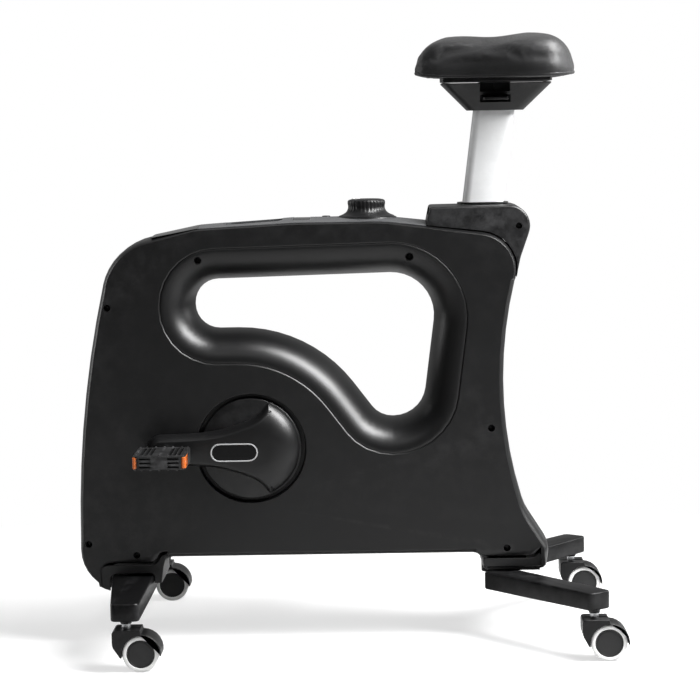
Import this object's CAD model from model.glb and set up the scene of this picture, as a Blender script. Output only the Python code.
# %% [markdown]
# # A desk exercise bike
#
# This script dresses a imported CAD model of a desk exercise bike. The CAD model says where every piece is
# and how it moves. What follows gives each visible piece its fine shape and its finish: moulded plastic,
# powder coat, silver paint, synthetic leather and rubber. Lengths are in metres, +Z is up, the rider faces
# -X, and -Y is the side that the camera sees.

import math

import bmesh
import bpy
from mathutils import Matrix, Vector


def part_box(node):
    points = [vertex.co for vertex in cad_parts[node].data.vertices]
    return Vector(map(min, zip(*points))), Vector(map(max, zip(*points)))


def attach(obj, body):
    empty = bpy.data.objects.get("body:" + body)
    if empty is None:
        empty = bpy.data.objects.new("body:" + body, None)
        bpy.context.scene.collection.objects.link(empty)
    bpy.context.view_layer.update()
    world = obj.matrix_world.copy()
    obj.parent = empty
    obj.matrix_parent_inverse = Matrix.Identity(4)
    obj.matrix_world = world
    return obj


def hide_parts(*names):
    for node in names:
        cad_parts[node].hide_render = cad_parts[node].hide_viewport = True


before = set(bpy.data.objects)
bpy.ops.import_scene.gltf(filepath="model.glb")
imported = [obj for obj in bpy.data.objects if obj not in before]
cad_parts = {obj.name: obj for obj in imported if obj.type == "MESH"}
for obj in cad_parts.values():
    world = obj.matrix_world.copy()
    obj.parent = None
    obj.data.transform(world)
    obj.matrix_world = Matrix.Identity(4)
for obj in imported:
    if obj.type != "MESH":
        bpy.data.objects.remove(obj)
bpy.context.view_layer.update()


# %% [markdown]
# ## The camera
#
# A camera's position, its turn and its lens decide how much of a round edge is seen, so it is set before any
# shape is judged. This bike was photographed from its left side, from a little above the saddle's height and
# from nearly four metres away, with a long lens. Writing the turn as three small angles (down, across and
# roll) is easier to correct later than a rotation matrix, so the matrix is worked out from them.

# %% Camera
CAMERA_PLACE = Vector((0.071, -3.800, 0.8254))
LOOK_DOWN = math.radians(5.62)
LOOK_ACROSS = math.radians(0.99)
ROLL = math.radians(1.01)

forward = Vector(
    (
        -math.sin(LOOK_ACROSS) * math.cos(LOOK_DOWN),
        math.cos(LOOK_ACROSS) * math.cos(LOOK_DOWN),
        -math.sin(LOOK_DOWN),
    )
)
rightward = Vector((math.cos(LOOK_ACROSS), math.sin(LOOK_ACROSS), 0.0))
upward = rightward.cross(forward)

camera_data = bpy.data.cameras.new("camera")
camera_data.lens = 123.3
camera_data.sensor_width = 36.0
camera = bpy.data.objects.new("camera", camera_data)
bpy.context.scene.collection.objects.link(camera)
facing = Matrix((rightward, upward, -forward)).transposed() @ Matrix.Rotation(-ROLL, 3, "Z")
camera.matrix_world = Matrix.Translation(CAMERA_PLACE) @ facing.to_4x4()
bpy.context.scene.camera = camera
bpy.context.scene.view_settings.view_transform = "Standard"
print("camera looks along", [round(value, 3) for value in forward])

# %% [markdown]
# ## Helpers for outlines
#
# Most of this bike's pieces are outlines that were drawn with a few corners, then rounded. A rounded corner
# can be a bevel on the mesh, a Bezier curve or worked-out points. Worked-out points were chosen here because
# the same outline can then be grown or shrunk by a formula, which is how the shell's rings are made.

# %% Rounded and grown outlines
FINE = 0.00025


def arc_steps(radius, angle, sag=FINE):
    """How many straight steps keep an arc within its sag."""
    if radius <= sag:
        return 1
    return max(1, math.ceil(abs(angle) / (2 * math.acos(1 - sag / radius))))


def rounded(corners, sag=FINE):
    """Rounds a closed outline of (x, z, radius, ...) corners. Further values pass through."""
    count = len(corners)
    places = [Vector(corner[:2]) for corner in corners]
    turns, reaches = [], []
    for i, here in enumerate(places):
        arriving = (here - places[i - 1]).normalized()
        leaving = (places[(i + 1) % count] - here).normalized()
        turn = math.atan2(arriving.x * leaving.y - arriving.y * leaving.x, arriving.dot(leaving))
        turns.append(turn)
        reaches.append(corners[i][2] * math.tan(abs(turn) / 2))
    points = []
    for i, here in enumerate(places):
        before, after = places[i - 1], places[(i + 1) % count]
        extra = tuple(corners[i][3:])
        share = 1.0
        for other, reach in ((before, reaches[i - 1]), (after, reaches[(i + 1) % count])):
            share = min(share, (other - here).length / max(reaches[i] + reach, 1e-9))
        radius = corners[i][2] * share
        if radius < 1e-5:
            points.append((here.x, here.y, *extra))
            continue
        arriving = (here - before).normalized()
        side = 1.0 if turns[i] > 0 else -1.0
        start = here - arriving * reaches[i] * share
        centre = start + Vector((-arriving.y, arriving.x)) * side * radius
        steps = arc_steps(radius, turns[i], sag)
        for step in range(steps + 1):
            point = centre + Matrix.Rotation(turns[i] * step / steps, 2) @ (start - centre)
            points.append((point.x, point.y, *extra))
    kept = []
    for point in points:
        if not kept or math.dist(point[:2], kept[-1][:2]) > 0.0001:
            kept.append(point)
    if math.dist(kept[0][:2], kept[-1][:2]) <= 0.0001:
        kept.pop()
    return kept


def grown(points, distances):
    """Moves each point of a counter-clockwise loop outward by its distance, square to the loop."""
    count = len(points)
    moved = []
    for i, point in enumerate(points):
        here = Vector(point[:2])
        arriving = (here - Vector(points[i - 1][:2])).normalized()
        leaving = (Vector(points[(i + 1) % count][:2]) - here).normalized()
        first = Vector((arriving.y, -arriving.x))
        second = Vector((leaving.y, -leaving.x))
        mitre = (first + second) / max(1 + first.dot(second), 0.4)
        distance = distances[i] if isinstance(distances, list) else distances
        moved.append(tuple(here + mitre * distance))
    return moved


def circle(centre, radius, count):
    turn = 2 * math.pi / count
    return [
        (centre[0] + radius * math.cos(turn * i), centre[1] + radius * math.sin(turn * i))
        for i in range(count)
    ]


def polar(centre, radius, degrees):
    angle = math.radians(degrees)
    return (centre[0] + radius * math.cos(angle), centre[1] + radius * math.sin(angle))


def arc(centre, radius, start, end, sag=FINE):
    steps = arc_steps(radius, math.radians(end - start), sag)
    return [polar(centre, radius, start + (end - start) * step / steps) for step in range(steps + 1)]


def rectangle(xs, ys, corner):
    """A rectangle with rounded corners."""
    corners = ((xs[0], ys[0]), (xs[1], ys[0]), (xs[1], ys[1]), (xs[0], ys[1]))
    return rounded([(x, y, corner) for x, y in corners])


# %% [markdown]
# ## Helpers for pieces
#
# Each piece is an object of its own, rides on a body of the CAD model, takes a material slot of the record
# and may replace a CAD node. One function does all four, so no piece is left out of the table. Solids are
# made in three ways: a flat outline with thickness, a turned profile, and a skin stretched over rings of
# points. Real edges are never sharp, so the first two ways end with a small bevel that catches the light.

# %% Pieces
EVERY_PIECE = {}


def piece(name, shape, body, material, replaces=(), turn=None):
    """A bmesh as a named piece on a body, in the place of the CAD nodes that it replaces."""
    mesh = bpy.data.meshes.new(name)
    shape.to_mesh(mesh)
    shape.free()
    if turn:
        mesh.transform(turn)
    mesh.materials.append(material)
    made = bpy.data.objects.new(name, mesh)
    bpy.context.scene.collection.objects.link(made)
    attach(made, body)
    if replaces:
        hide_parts(*replaces)
    EVERY_PIECE[name] = made
    return made


def smooth(made, degrees=32.0):
    made.data.shade_smooth()
    made.data.set_sharp_from_angle(angle=math.radians(degrees))
    return made


def soften(made, width, segments=3, angle=35.0):
    """Rounds every edge that is sharper than an angle, and keeps the flats flat."""
    edge = made.modifiers.new("soft edges", "BEVEL")
    edge.width = width
    edge.segments = segments
    edge.limit_method = "ANGLE"
    edge.angle_limit = math.radians(angle)
    edge.harden_normals = True
    made.data.shade_smooth()
    return made


def applied(made):
    """Applies a piece's modifiers, and keeps its place in the table."""
    bpy.context.view_layer.update()
    graph = bpy.context.evaluated_depsgraph_get()
    mesh = bpy.data.meshes.new_from_object(made.evaluated_get(graph))
    mesh.name = made.name
    made.modifiers.clear()
    made.data = mesh
    return made


def bridge(shape, first, second):
    """Quads between two rings with the same number of points."""
    count = len(first)
    for i in range(count):
        j = (i + 1) % count
        shape.faces.new((first[i], first[j], second[j], second[i]))


def slab(outline, low, high, axis="Z", holes=()):
    """An outline with thickness: along Z from (x, y) points, or along Y from (x, z) points."""
    shape = bmesh.new()
    edges = []
    for loop in (outline, *holes):
        if axis == "Z":
            ring = [shape.verts.new((x, y, low)) for x, y in loop]
        else:
            ring = [shape.verts.new((x, low, z)) for x, z in loop]
        edges += [shape.edges.new((a, b)) for a, b in zip(ring, ring[1:] + ring[:1])]
    bmesh.ops.triangle_fill(shape, use_beauty=True, use_dissolve=True, edges=edges)
    thick = bmesh.ops.extrude_face_region(shape, geom=shape.faces[:])
    lifted = [item for item in thick["geom"] if isinstance(item, bmesh.types.BMVert)]
    way = Vector((0, 0, high - low)) if axis == "Z" else Vector((0, high - low, 0))
    bmesh.ops.translate(shape, vec=way, verts=lifted)
    bmesh.ops.recalc_face_normals(shape, faces=shape.faces)
    return shape


def lathe(profile, place, axis=(0, 0, 1), steps=64):
    """A profile of (radius, height) turned about an axis through a place."""
    shape = bmesh.new()
    rings = []
    for radius, height in profile:
        if radius < 1e-6:
            rings.append([shape.verts.new((0.0, 0.0, height))])
        else:
            rings.append([shape.verts.new((x, y, height)) for x, y in circle((0, 0), radius, steps)])
    if profile[0][0] >= 1e-6:
        rings.append(rings[0])
    for first, second in zip(rings, rings[1:]):
        for i in range(steps):
            j = (i + 1) % steps
            corners = [first[i % len(first)], first[j % len(first)]]
            corners += [second[j % len(second)], second[i % len(second)]]
            unique = list(dict.fromkeys(corners))
            if len(unique) > 2:
                shape.faces.new(unique)
    bmesh.ops.recalc_face_normals(shape, faces=shape.faces)
    turn = Vector(axis).to_track_quat("Z", "Y").to_matrix().to_4x4()
    shape.transform(Matrix.Translation(Vector(place)) @ turn)
    return shape


def skin(rings, closed_ends=True):
    """A surface over rings of points, from the first ring to the last."""
    shape = bmesh.new()
    made = [[shape.verts.new(point) for point in ring] for ring in rings]
    for first, second in zip(made, made[1:]):
        bridge(shape, first, second)
    if closed_ends:
        for ring in (made[0], made[-1]):
            edges = [shape.edges.get((a, b)) for a, b in zip(ring, ring[1:] + ring[:1])]
            bmesh.ops.triangle_fill(shape, use_beauty=True, use_dissolve=False, edges=edges)
    bmesh.ops.recalc_face_normals(shape, faces=shape.faces)
    return shape


def block(xs, ys, zs):
    """A plain block, for cutting."""
    return slab([(xs[0], ys[0]), (xs[1], ys[0]), (xs[1], ys[1]), (xs[0], ys[1])], *zs)


def y_bar(centre, radius, near, far, steps=32):
    """A round bar along Y through an (x, z) centre."""
    low, high = sorted((near, far))
    return slab(circle(centre, radius, steps), low, high, axis="Y")


def carve(made, *shapes, solver="EXACT"):
    """Cuts shapes out of a piece and applies the result."""
    tools = []
    for number, shape in enumerate(shapes):
        mesh = bpy.data.meshes.new("cut")
        shape.to_mesh(mesh)
        shape.free()
        tool = bpy.data.objects.new(f"cut_{number}", mesh)
        bpy.context.scene.collection.objects.link(tool)
        tools.append(tool)
        step = made.modifiers.new(f"cut {number}", "BOOLEAN")
        step.operation = "DIFFERENCE"
        step.solver = solver
        step.object = tool
    applied(made)
    for tool in tools:
        bpy.data.objects.remove(tool, do_unlink=True)
    return made


def side_name(name, side):
    return f"{name}_{'left' if side < 0 else 'right'}"


def span(side, near, far):
    """The Y span between two distances from the middle plane, on one side of it."""
    return tuple(sorted((side * near, side * far)))


print("helpers ready")

# %% [markdown]
# ## Effects that several finishes share
#
# Nothing real is one flat colour. Moulded plastic has a fine spark-eroded grain, sharp edges are rubbed
# lighter, dust settles on what faces up, and metal has lines from the tool that worked it. Each effect is a
# node group with named sockets. A group gives out masks and heights only, and each material decides what
# colour or roughness these mean, so one group serves a black shell and a silver post alike.

# %% Building a node group
def new_group(name, inputs, outputs):
    """A shader node group with float sockets, its input node and its output node."""
    tree = bpy.data.node_groups.new(name, "ShaderNodeTree")
    for label, value in inputs.items():
        socket = tree.interface.new_socket(name=label, in_out="INPUT", socket_type="NodeSocketFloat")
        socket.default_value = value
    for label in outputs:
        tree.interface.new_socket(name=label, in_out="OUTPUT", socket_type="NodeSocketFloat")
    return tree, tree.nodes.new("NodeGroupInput"), tree.nodes.new("NodeGroupOutput")


def add(tree, kind, settings=None, **inputs):
    """A node with settings, whose inputs are values or other nodes' outputs."""
    node = tree.nodes.new(kind)
    for label, value in (settings or {}).items():
        setattr(node, label, value)
    for label, value in inputs.items():
        socket = node.inputs[int(label[1:])] if label[1:].isdigit() else node.inputs[label.replace("_", " ")]
        if isinstance(value, bpy.types.NodeSocket):
            tree.links.new(value, socket)
        else:
            socket.default_value = value
    return node


def math_node(tree, operation, first, second=0.0, clamp=False):
    return add(
        tree, "ShaderNodeMath", {"operation": operation, "use_clamp": clamp}, _0=first, _1=second
    ).outputs[0]


def ramp(tree, value, low, high, to_low=0.0, to_high=1.0):
    """A value mapped from one range to another, and held within it."""
    return add(
        tree,
        "ShaderNodeMapRange",
        {"clamp": True},
        Value=value,
        From_Min=low,
        From_Max=high,
        To_Min=to_low,
        To_Max=to_high,
    ).outputs["Result"]


# %% [markdown]
# The grain is two textures of different kinds. Voronoi cells give the tiny pits that a spark-eroded mould
# leaves, and a slow noise makes the sheen differ a little across a large side, as it does where plastic
# cooled unevenly. Object coordinates are metres here, so a scale of 1400 means cells of about 0.7 mm on
# every piece.

# %% Moulded grain
def moulded_grain_group():
    tree, given, out = new_group("moulded grain", {"Grain Scale": 1400.0}, ("Height", "Tone"))
    place = add(tree, "ShaderNodeTexCoord").outputs["Object"]
    pits = add(
        tree,
        "ShaderNodeTexVoronoi",
        {"feature": "SMOOTH_F1"},
        Vector=place,
        Scale=given.outputs["Grain Scale"],
        Smoothness=0.6,
    )
    slow = add(tree, "ShaderNodeTexNoise", Vector=place, Scale=5.5, Detail=4.0, Roughness=0.55)
    fine = add(tree, "ShaderNodeTexNoise", Vector=place, Scale=160.0, Detail=3.0)
    mixed = math_node(tree, "MULTIPLY", fine.outputs[0], 0.35)
    tone = math_node(tree, "ADD", math_node(tree, "MULTIPLY", slow.outputs[0], 0.65), mixed, True)
    tree.links.new(pits.outputs["Distance"], out.inputs["Height"])
    tree.links.new(tone, out.inputs["Tone"])
    return tree


moulded_grain = moulded_grain_group()

# %% [markdown]
# Cycles can say how pointed a surface is at each place. Broken up with noise, this gives worn edges that
# differ along their length. Dust needs only the direction that a surface faces, in world space.

# %% Worn edges and settled dust
def worn_edges_group():
    tree, given, out = new_group("worn edges", {"Amount": 1.0}, ("Mask",))
    pointed = add(tree, "ShaderNodeNewGeometry").outputs["Pointiness"]
    sharp = ramp(tree, pointed, 0.515, 0.60)
    place = add(tree, "ShaderNodeTexCoord").outputs["Object"]
    patches = add(tree, "ShaderNodeTexNoise", Vector=place, Scale=38.0, Detail=5.0, Roughness=0.7)
    broken = ramp(tree, patches.outputs[0], 0.42, 0.66)
    mask = math_node(tree, "MULTIPLY", math_node(tree, "MULTIPLY", sharp, broken), given.outputs["Amount"])
    tree.links.new(mask, out.inputs["Mask"])
    return tree


def settled_dust_group():
    tree, given, out = new_group("settled dust", {"Amount": 1.0}, ("Mask",))
    facing = add(tree, "ShaderNodeNewGeometry").outputs["Normal"]
    up = add(tree, "ShaderNodeSeparateXYZ", Vector=facing).outputs["Z"]
    flat = ramp(tree, up, 0.55, 1.0)
    place = add(tree, "ShaderNodeTexCoord").outputs["Object"]
    specks = add(tree, "ShaderNodeTexNoise", Vector=place, Scale=420.0, Detail=4.0, Roughness=0.65)
    drifts = add(tree, "ShaderNodeTexNoise", Vector=place, Scale=14.0, Detail=3.0)
    grains = math_node(
        tree, "MULTIPLY", ramp(tree, specks.outputs[0], 0.48, 0.72), ramp(tree, drifts.outputs[0], 0.3, 0.7)
    )
    mask = math_node(tree, "MULTIPLY", math_node(tree, "MULTIPLY", grains, flat), given.outputs["Amount"])
    tree.links.new(mask, out.inputs["Mask"])
    return tree


worn_edges = worn_edges_group()
settled_dust = settled_dust_group()

# %% [markdown]
# Turned, drawn and ground metal carries fine parallel lines. They come from one noise texture that is
# squeezed a hundred times along one axis. Which axis is a choice of the material: round bars on this bike
# lie along Y.

# %% Tool lines
def tool_lines_group():
    inputs = {"Across X": 900.0, "Across Y": 9.0, "Across Z": 900.0}
    tree, given, out = new_group("tool lines", inputs, ("Height", "Tone"))
    place = add(tree, "ShaderNodeTexCoord").outputs["Object"]
    spread = add(
        tree,
        "ShaderNodeCombineXYZ",
        X=given.outputs["Across X"],
        Y=given.outputs["Across Y"],
        Z=given.outputs["Across Z"],
    )
    squeezed = add(tree, "ShaderNodeVectorMath", {"operation": "MULTIPLY"}, _0=place, _1=spread.outputs[0])
    lines = add(tree, "ShaderNodeTexNoise", Vector=squeezed.outputs[0], Scale=1.0, Detail=3.0)
    stains = add(tree, "ShaderNodeTexNoise", Vector=place, Scale=45.0, Detail=4.0)
    tree.links.new(lines.outputs[0], out.inputs["Height"])
    tree.links.new(stains.outputs[0], out.inputs["Tone"])
    return tree


tool_lines = tool_lines_group()
print("node groups", [group.name for group in bpy.data.node_groups])

# %% [markdown]
# ## Finishes
#
# Plastic, paint and rubber are all a pigment under a more or less smooth skin, so one function layers them:
# tone over the pigment, then wear, then dust. The numbers are what tells them apart. Values that are the
# same all over, such as the specular level, are written on the shader itself, so that they also reach other
# programs.

# %% A layered finish
def surface(name, roughness, metallic=0.0, specular=0.5):
    """A material, its node tree and its shader."""
    made = bpy.data.materials.new(name)
    made.use_nodes = True
    shader = made.node_tree.nodes["Principled BSDF"]
    shader.inputs["Roughness"].default_value = roughness
    shader.inputs["Metallic"].default_value = metallic
    shader.inputs["Specular IOR Level"].default_value = specular
    return made, made.node_tree, shader


def placed(tree, group, **values):
    node = tree.nodes.new("ShaderNodeGroup")
    node.node_tree = group
    for label, value in values.items():
        node.inputs[label.replace("_", " ")].default_value = value
    return node


def tinted(tree, factor, first, second):
    """A mix of two colours, or of one colour and a node's output."""
    return add(
        tree, "ShaderNodeMix", {"data_type": "RGBA"}, _0=factor, _6=first, _7=second
    ).outputs[2]


def shade(colour, factor):
    return (*[min(1.0, channel * factor) for channel in colour], 1.0)


def layered(
    name,
    colour,
    roughness,
    spread=0.10,
    contrast=0.18,
    grain=1400.0,
    depth=0.05,
    wear=0.5,
    wear_colour=(0.16, 0.16, 0.165),
    dust=0.25,
    specular=0.5,
    metallic=0.0,
):
    """Pigment with a tone that varies, rubbed edges, settled dust and a grain."""
    made, tree, shader = surface(name, roughness, metallic, specular)
    texture = placed(tree, moulded_grain, Grain_Scale=grain)
    tone = texture.outputs["Tone"]
    pigment = tinted(tree, tone, shade(colour, 1 - contrast), shade(colour, 1 + contrast))
    rubbed = placed(tree, worn_edges, Amount=wear).outputs["Mask"]
    dusty = placed(tree, settled_dust, Amount=dust).outputs["Mask"]
    pigment = tinted(tree, rubbed, pigment, (*wear_colour, 1.0))
    pigment = tinted(tree, dusty, pigment, (0.30, 0.29, 0.27, 1.0))
    rough = ramp(tree, tone, 0.25, 0.75, roughness - spread / 2, roughness + spread / 2)
    rough = math_node(tree, "ADD", rough, math_node(tree, "MULTIPLY", dusty, 0.3), True)
    bump = add(
        tree, "ShaderNodeBump", Strength=depth, Distance=0.0006, Height=texture.outputs["Height"]
    )
    tree.links.new(pigment, shader.inputs["Base Color"])
    tree.links.new(rough, shader.inputs["Roughness"])
    tree.links.new(bump.outputs["Normal"], shader.inputs["Normal"])
    return made


# %% Plastics, paints and rubbers
SHELL_BLACK = layered(
    "satin black shell", (0.0030, 0.0030, 0.0032), 0.37, 0.02, 0.04, specular=0.42, dust=0.0, wear=0.10
)
CAP_BLACK = layered(
    "satin black fittings", (
        0.0055, 0.0055, 0.0058
    ), 0.36, 0.02, 0.03, 1100.0, dust=0.0, specular=0.36, wear=0.25
)
PEDAL_BLACK = layered(
    "pedal plastic", (0.0065, 0.0065, 0.0068), 0.42, 0.05, 0.08, 900.0, 0.09, 0.35, dust=0.05, specular=0.42
)
HOOD_BLACK = layered(
    "caster hood plastic", (
        0.003, 0.003, 0.0032
    ), 0.34, 0.04, 0.06, 1200.0, wear=0.15, specular=0.30, dust=0.0
)
CONSOLE_GREY = layered(
    "console grey", (0.042, 0.043, 0.045), 0.42, grain=1300.0, wear=0.3, wear_colour=(0.3, 0.3, 0.31)
)
GLOSS_BLACK = layered(
    "glossy black trim", (0.002, 0.002, 0.0022), 0.12, 0.05, depth=0.0, wear=0.0, dust=0.0, specular=0.3
)
POWDER_COAT = layered(
    "black powder coat", (
        0.0025, 0.0025, 0.0027
    ), 0.34, 0.05, 0.06, 700.0, 0.08, 0.20, specular=0.22, dust=0.0
)
BELT_RUBBER = layered("belt rubber", (0.011, 0.011, 0.011), 0.78, grain=800.0, depth=0.2, dust=0.4)
TREAD_WHITE = layered(
    "white tread", (0.90, 0.90, 0.89), 0.45, 0.05, 0.03, wear=0.10, wear_colour=(0.6, 0.59, 0.57), dust=0.15
)
DISC_GREY = layered(
    "wheel disc plastic", (0.008, 0.008, 0.0083), 0.42, 0.04, 0.06, 1200.0, wear=0.2, dust=0.05
)
print("layered finishes made")

# %% [markdown]
# The seat post is steel under silver paint, smooth enough to mirror its surroundings softly. Bare metal
# pieces are zinc plated or turned, and the flywheel is cast iron with a machined rim. They share the tool
# lines but not their direction or depth.

# %% Metals
def metal(name, colour, roughness, lines, depth, contrast=0.12, metallic=1.0, wear=0.3):
    """Metal with tool lines, stains and edges that shine more."""
    made, tree, shader = surface(name, roughness, metallic)
    texture = placed(tree, tool_lines, Across_X=lines[0], Across_Y=lines[1], Across_Z=lines[2])
    tone = texture.outputs["Tone"]
    base = tinted(tree, tone, shade(colour, 1 - contrast), shade(colour, 1 + contrast))
    rubbed = placed(tree, worn_edges, Amount=wear).outputs["Mask"]
    base = tinted(tree, rubbed, base, shade(colour, 1.3))
    rough = ramp(tree, tone, 0.3, 0.7, roughness - 0.05, roughness + 0.07)
    bump = add(
        tree, "ShaderNodeBump", Strength=depth, Distance=0.0004, Height=texture.outputs["Height"]
    )
    tree.links.new(base, shader.inputs["Base Color"])
    tree.links.new(rough, shader.inputs["Roughness"])
    tree.links.new(bump.outputs["Normal"], shader.inputs["Normal"])
    return made


BLACK_OXIDE = metal(
    "black oxide steel", (0.022, 0.022, 0.023), 0.38, (700.0, 700.0, 700.0), 0.10, metallic=0.6
)
ZINC = metal("zinc plated steel", (0.55, 0.56, 0.57), 0.34, (900.0, 9.0, 900.0), 0.08)
CAST_IRON = metal("turned cast iron", (0.17, 0.17, 0.175), 0.46, (700.0, 700.0, 700.0), 0.22, 0.25)
SILVER_PAINT = metal(
    "silver painted post", (0.66, 0.665, 0.67), 0.34, (500.0, 500.0, 6.0), 0.015, 0.03, 0.0, 0.2
)
BADGE_RIM = metal("badge rim", (0.42, 0.425, 0.43), 0.22, (60.0, 900.0, 900.0), 0.05, metallic=0.2)

# %% [markdown]
# The saddle's cover is embossed synthetic leather. Its creases are the borders between Voronoi cells, bent by
# noise so that no two cells look alike, and the valleys between them are duller than the pads. A little sheen
# stands for the soft finish that such covers have.

# %% Synthetic leather
def saddle_leather():
    made, tree, shader = surface("saddle leather", 0.46, specular=0.42)
    shader.inputs["Sheen Weight"].default_value = 0.05
    shader.inputs["Sheen Roughness"].default_value = 0.4
    place = add(tree, "ShaderNodeTexCoord").outputs["Object"]
    wander = add(tree, "ShaderNodeTexNoise", Vector=place, Scale=160.0, Detail=2.0)
    shift = add(
        tree, "ShaderNodeVectorMath", {"operation": "SCALE"}, _0=wander.outputs["Color"], Scale=0.004
    )
    bent = add(tree, "ShaderNodeVectorMath", {"operation": "ADD"}, _0=place, _1=shift.outputs[0])
    cells = add(
        tree,
        "ShaderNodeTexVoronoi",
        {"feature": "DISTANCE_TO_EDGE"},
        Vector=bent.outputs[0],
        Scale=520.0,
    )
    pads = ramp(tree, cells.outputs["Distance"], 0.0, 0.22)
    rubbed = placed(tree, worn_edges, Amount=0.25).outputs["Mask"]
    dusty = placed(tree, settled_dust, Amount=0.06).outputs["Mask"]
    base = tinted(tree, pads, (0.005, 0.005, 0.0054, 1.0), (0.010, 0.010, 0.0104, 1.0))
    base = tinted(tree, rubbed, base, (0.05, 0.05, 0.052, 1.0))
    base = tinted(tree, dusty, base, (0.25, 0.24, 0.23, 1.0))
    bump = add(tree, "ShaderNodeBump", Strength=0.32, Distance=0.0005, Height=pads)
    tree.links.new(base, shader.inputs["Base Color"])
    tree.links.new(ramp(tree, pads, 0.0, 1.0, 0.52, 0.35), shader.inputs["Roughness"])
    tree.links.new(bump.outputs["Normal"], shader.inputs["Normal"])
    return made


LEATHER = saddle_leather()

# %% [markdown]
# A pedal reflector is clear orange plastic with a back of tiny prisms. Real prisms would be thousands of
# faces, so a checker of the height stands for them: the bump turns each small square its own way.

# %% Amber reflector
def amber_reflector():
    made, tree, shader = surface("amber reflector", 0.16)
    shader.inputs["Coat Weight"].default_value = 0.6
    shader.inputs["Coat Roughness"].default_value = 0.08
    place = add(tree, "ShaderNodeTexCoord").outputs["Object"]
    prisms = add(
        tree, "ShaderNodeTexVoronoi", {"distance": "CHEBYCHEV"}, Vector=place, Scale=420.0, Randomness=0.0
    )
    facets = prisms.outputs["Distance"]
    rubbed = placed(tree, worn_edges, Amount=0.2).outputs["Mask"]
    base = tinted(tree, ramp(tree, facets, 0.1, 0.6), (0.70, 0.17, 0.02, 1.0), (0.36, 0.06, 0.008, 1.0))
    base = tinted(tree, rubbed, base, (0.8, 0.5, 0.3, 1.0))
    bump = add(tree, "ShaderNodeBump", Strength=0.5, Distance=0.0008, Height=facets)
    tree.links.new(base, shader.inputs["Base Color"])
    tree.links.new(bump.outputs["Normal"], shader.inputs["Normal"])
    return made


AMBER = amber_reflector()
print("materials", len(bpy.data.materials))

# %% [markdown]
# ## Stage and light
#
# A black object on a white ground is lit by what it reflects. A bright world behind it draws light lines
# along the edges that curve away, and a dim world before it keeps the flat side black, so the world's
# glossy light depends on its direction. Camera rays see plain white everywhere, which is the pale backdrop.
# The floor is mid grey, so that it throws little light up at the bike, and for camera rays alone it adds
# enough light of its own to look white around the bike's shadow.

# %% World
world = bpy.data.worlds.new("studio")
bpy.context.scene.world = world
world.use_nodes = True
sky = world.node_tree
sky.nodes.clear()
direction = add(sky, "ShaderNodeTexCoord").outputs["Generated"]
split = add(sky, "ShaderNodeSeparateXYZ", Vector=direction)
behind = ramp(sky, split.outputs["Y"], -0.20, 0.80, 0.02, 0.30)
path = add(sky, "ShaderNodeLightPath")
seen = math_node(sky, "MAXIMUM", path.outputs["Is Camera Ray"], path.outputs["Is Transmission Ray"])
mirrored = math_node(sky, "MULTIPLY", path.outputs["Is Glossy Ray"], behind)
AMBIENT = 0.20
other = math_node(sky, "MULTIPLY", math_node(sky, "SUBTRACT", 1.0, path.outputs["Is Glossy Ray"]), AMBIENT)
level = math_node(sky, "MAXIMUM", seen, math_node(sky, "ADD", mirrored, other))
glow = add(sky, "ShaderNodeBackground", Color=(1.0, 1.0, 1.0, 1.0), Strength=level)
sky_out = sky.nodes.new("ShaderNodeOutputWorld")
sky.links.new(glow.outputs[0], sky_out.inputs["Surface"])

# %% Floor
FLOOR_RADIUS, NEAR_FLOOR, FAR_FLOOR = 9.0, 0.55, 1.25


def floor_material():
    made = bpy.data.materials.new("pale floor")
    made.use_nodes = True
    tree = made.node_tree
    shader = tree.nodes["Principled BSDF"]
    shader.inputs["Base Color"].default_value = (0.38, 0.38, 0.38, 1.0)
    shader.inputs["Roughness"].default_value = 0.6
    shader.inputs["Specular IOR Level"].default_value = 0.2
    lift = add(tree, "ShaderNodeEmission", Color=(1.0, 1.0, 1.0, 1.0), Strength=0.62)
    white = add(tree, "ShaderNodeEmission", Color=(1.0, 1.0, 1.0, 1.0), Strength=1.0)
    lifted = add(tree, "ShaderNodeAddShader", _0=shader.outputs[0], _1=lift.outputs[0])
    place = add(tree, "ShaderNodeTexCoord").outputs["Object"]
    distance = add(tree, "ShaderNodeVectorMath", {"operation": "LENGTH"}, _0=place).outputs["Value"]
    far = ramp(tree, distance, NEAR_FLOOR, FAR_FLOOR)
    shown = add(tree, "ShaderNodeMixShader", _0=far, _1=lifted.outputs[0], _2=white.outputs[0])
    camera_ray = add(tree, "ShaderNodeLightPath").outputs["Is Camera Ray"]
    chosen = add(tree, "ShaderNodeMixShader", _0=camera_ray, _1=shader.outputs[0], _2=shown.outputs[0])
    tree.links.new(chosen.outputs[0], tree.nodes["Material Output"].inputs["Surface"])
    return made


floor_shape = bmesh.new()
bmesh.ops.create_circle(floor_shape, cap_ends=True, segments=96, radius=FLOOR_RADIUS)
floor_mesh = bpy.data.meshes.new("floor")
floor_shape.to_mesh(floor_mesh)
floor_shape.free()
floor_mesh.materials.append(floor_material())
floor = bpy.data.objects.new("floor", floor_mesh)
bpy.context.scene.collection.objects.link(floor)

# %% Lamps
BIKE_MIDDLE = Vector((0.0, 0.0, 0.45))


def softbox(name, place, size, watts, aim=BIKE_MIDDLE):
    """An area lamp that points at the bike."""
    data = bpy.data.lights.new(name, "AREA")
    data.shape = "RECTANGLE"
    data.size, data.size_y = size
    data.energy = watts
    lamp = bpy.data.objects.new(name, data)
    bpy.context.scene.collection.objects.link(lamp)
    lamp.location = place
    lamp.rotation_euler = (aim - Vector(place)).to_track_quat("-Z", "Y").to_euler()
    return lamp


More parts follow.
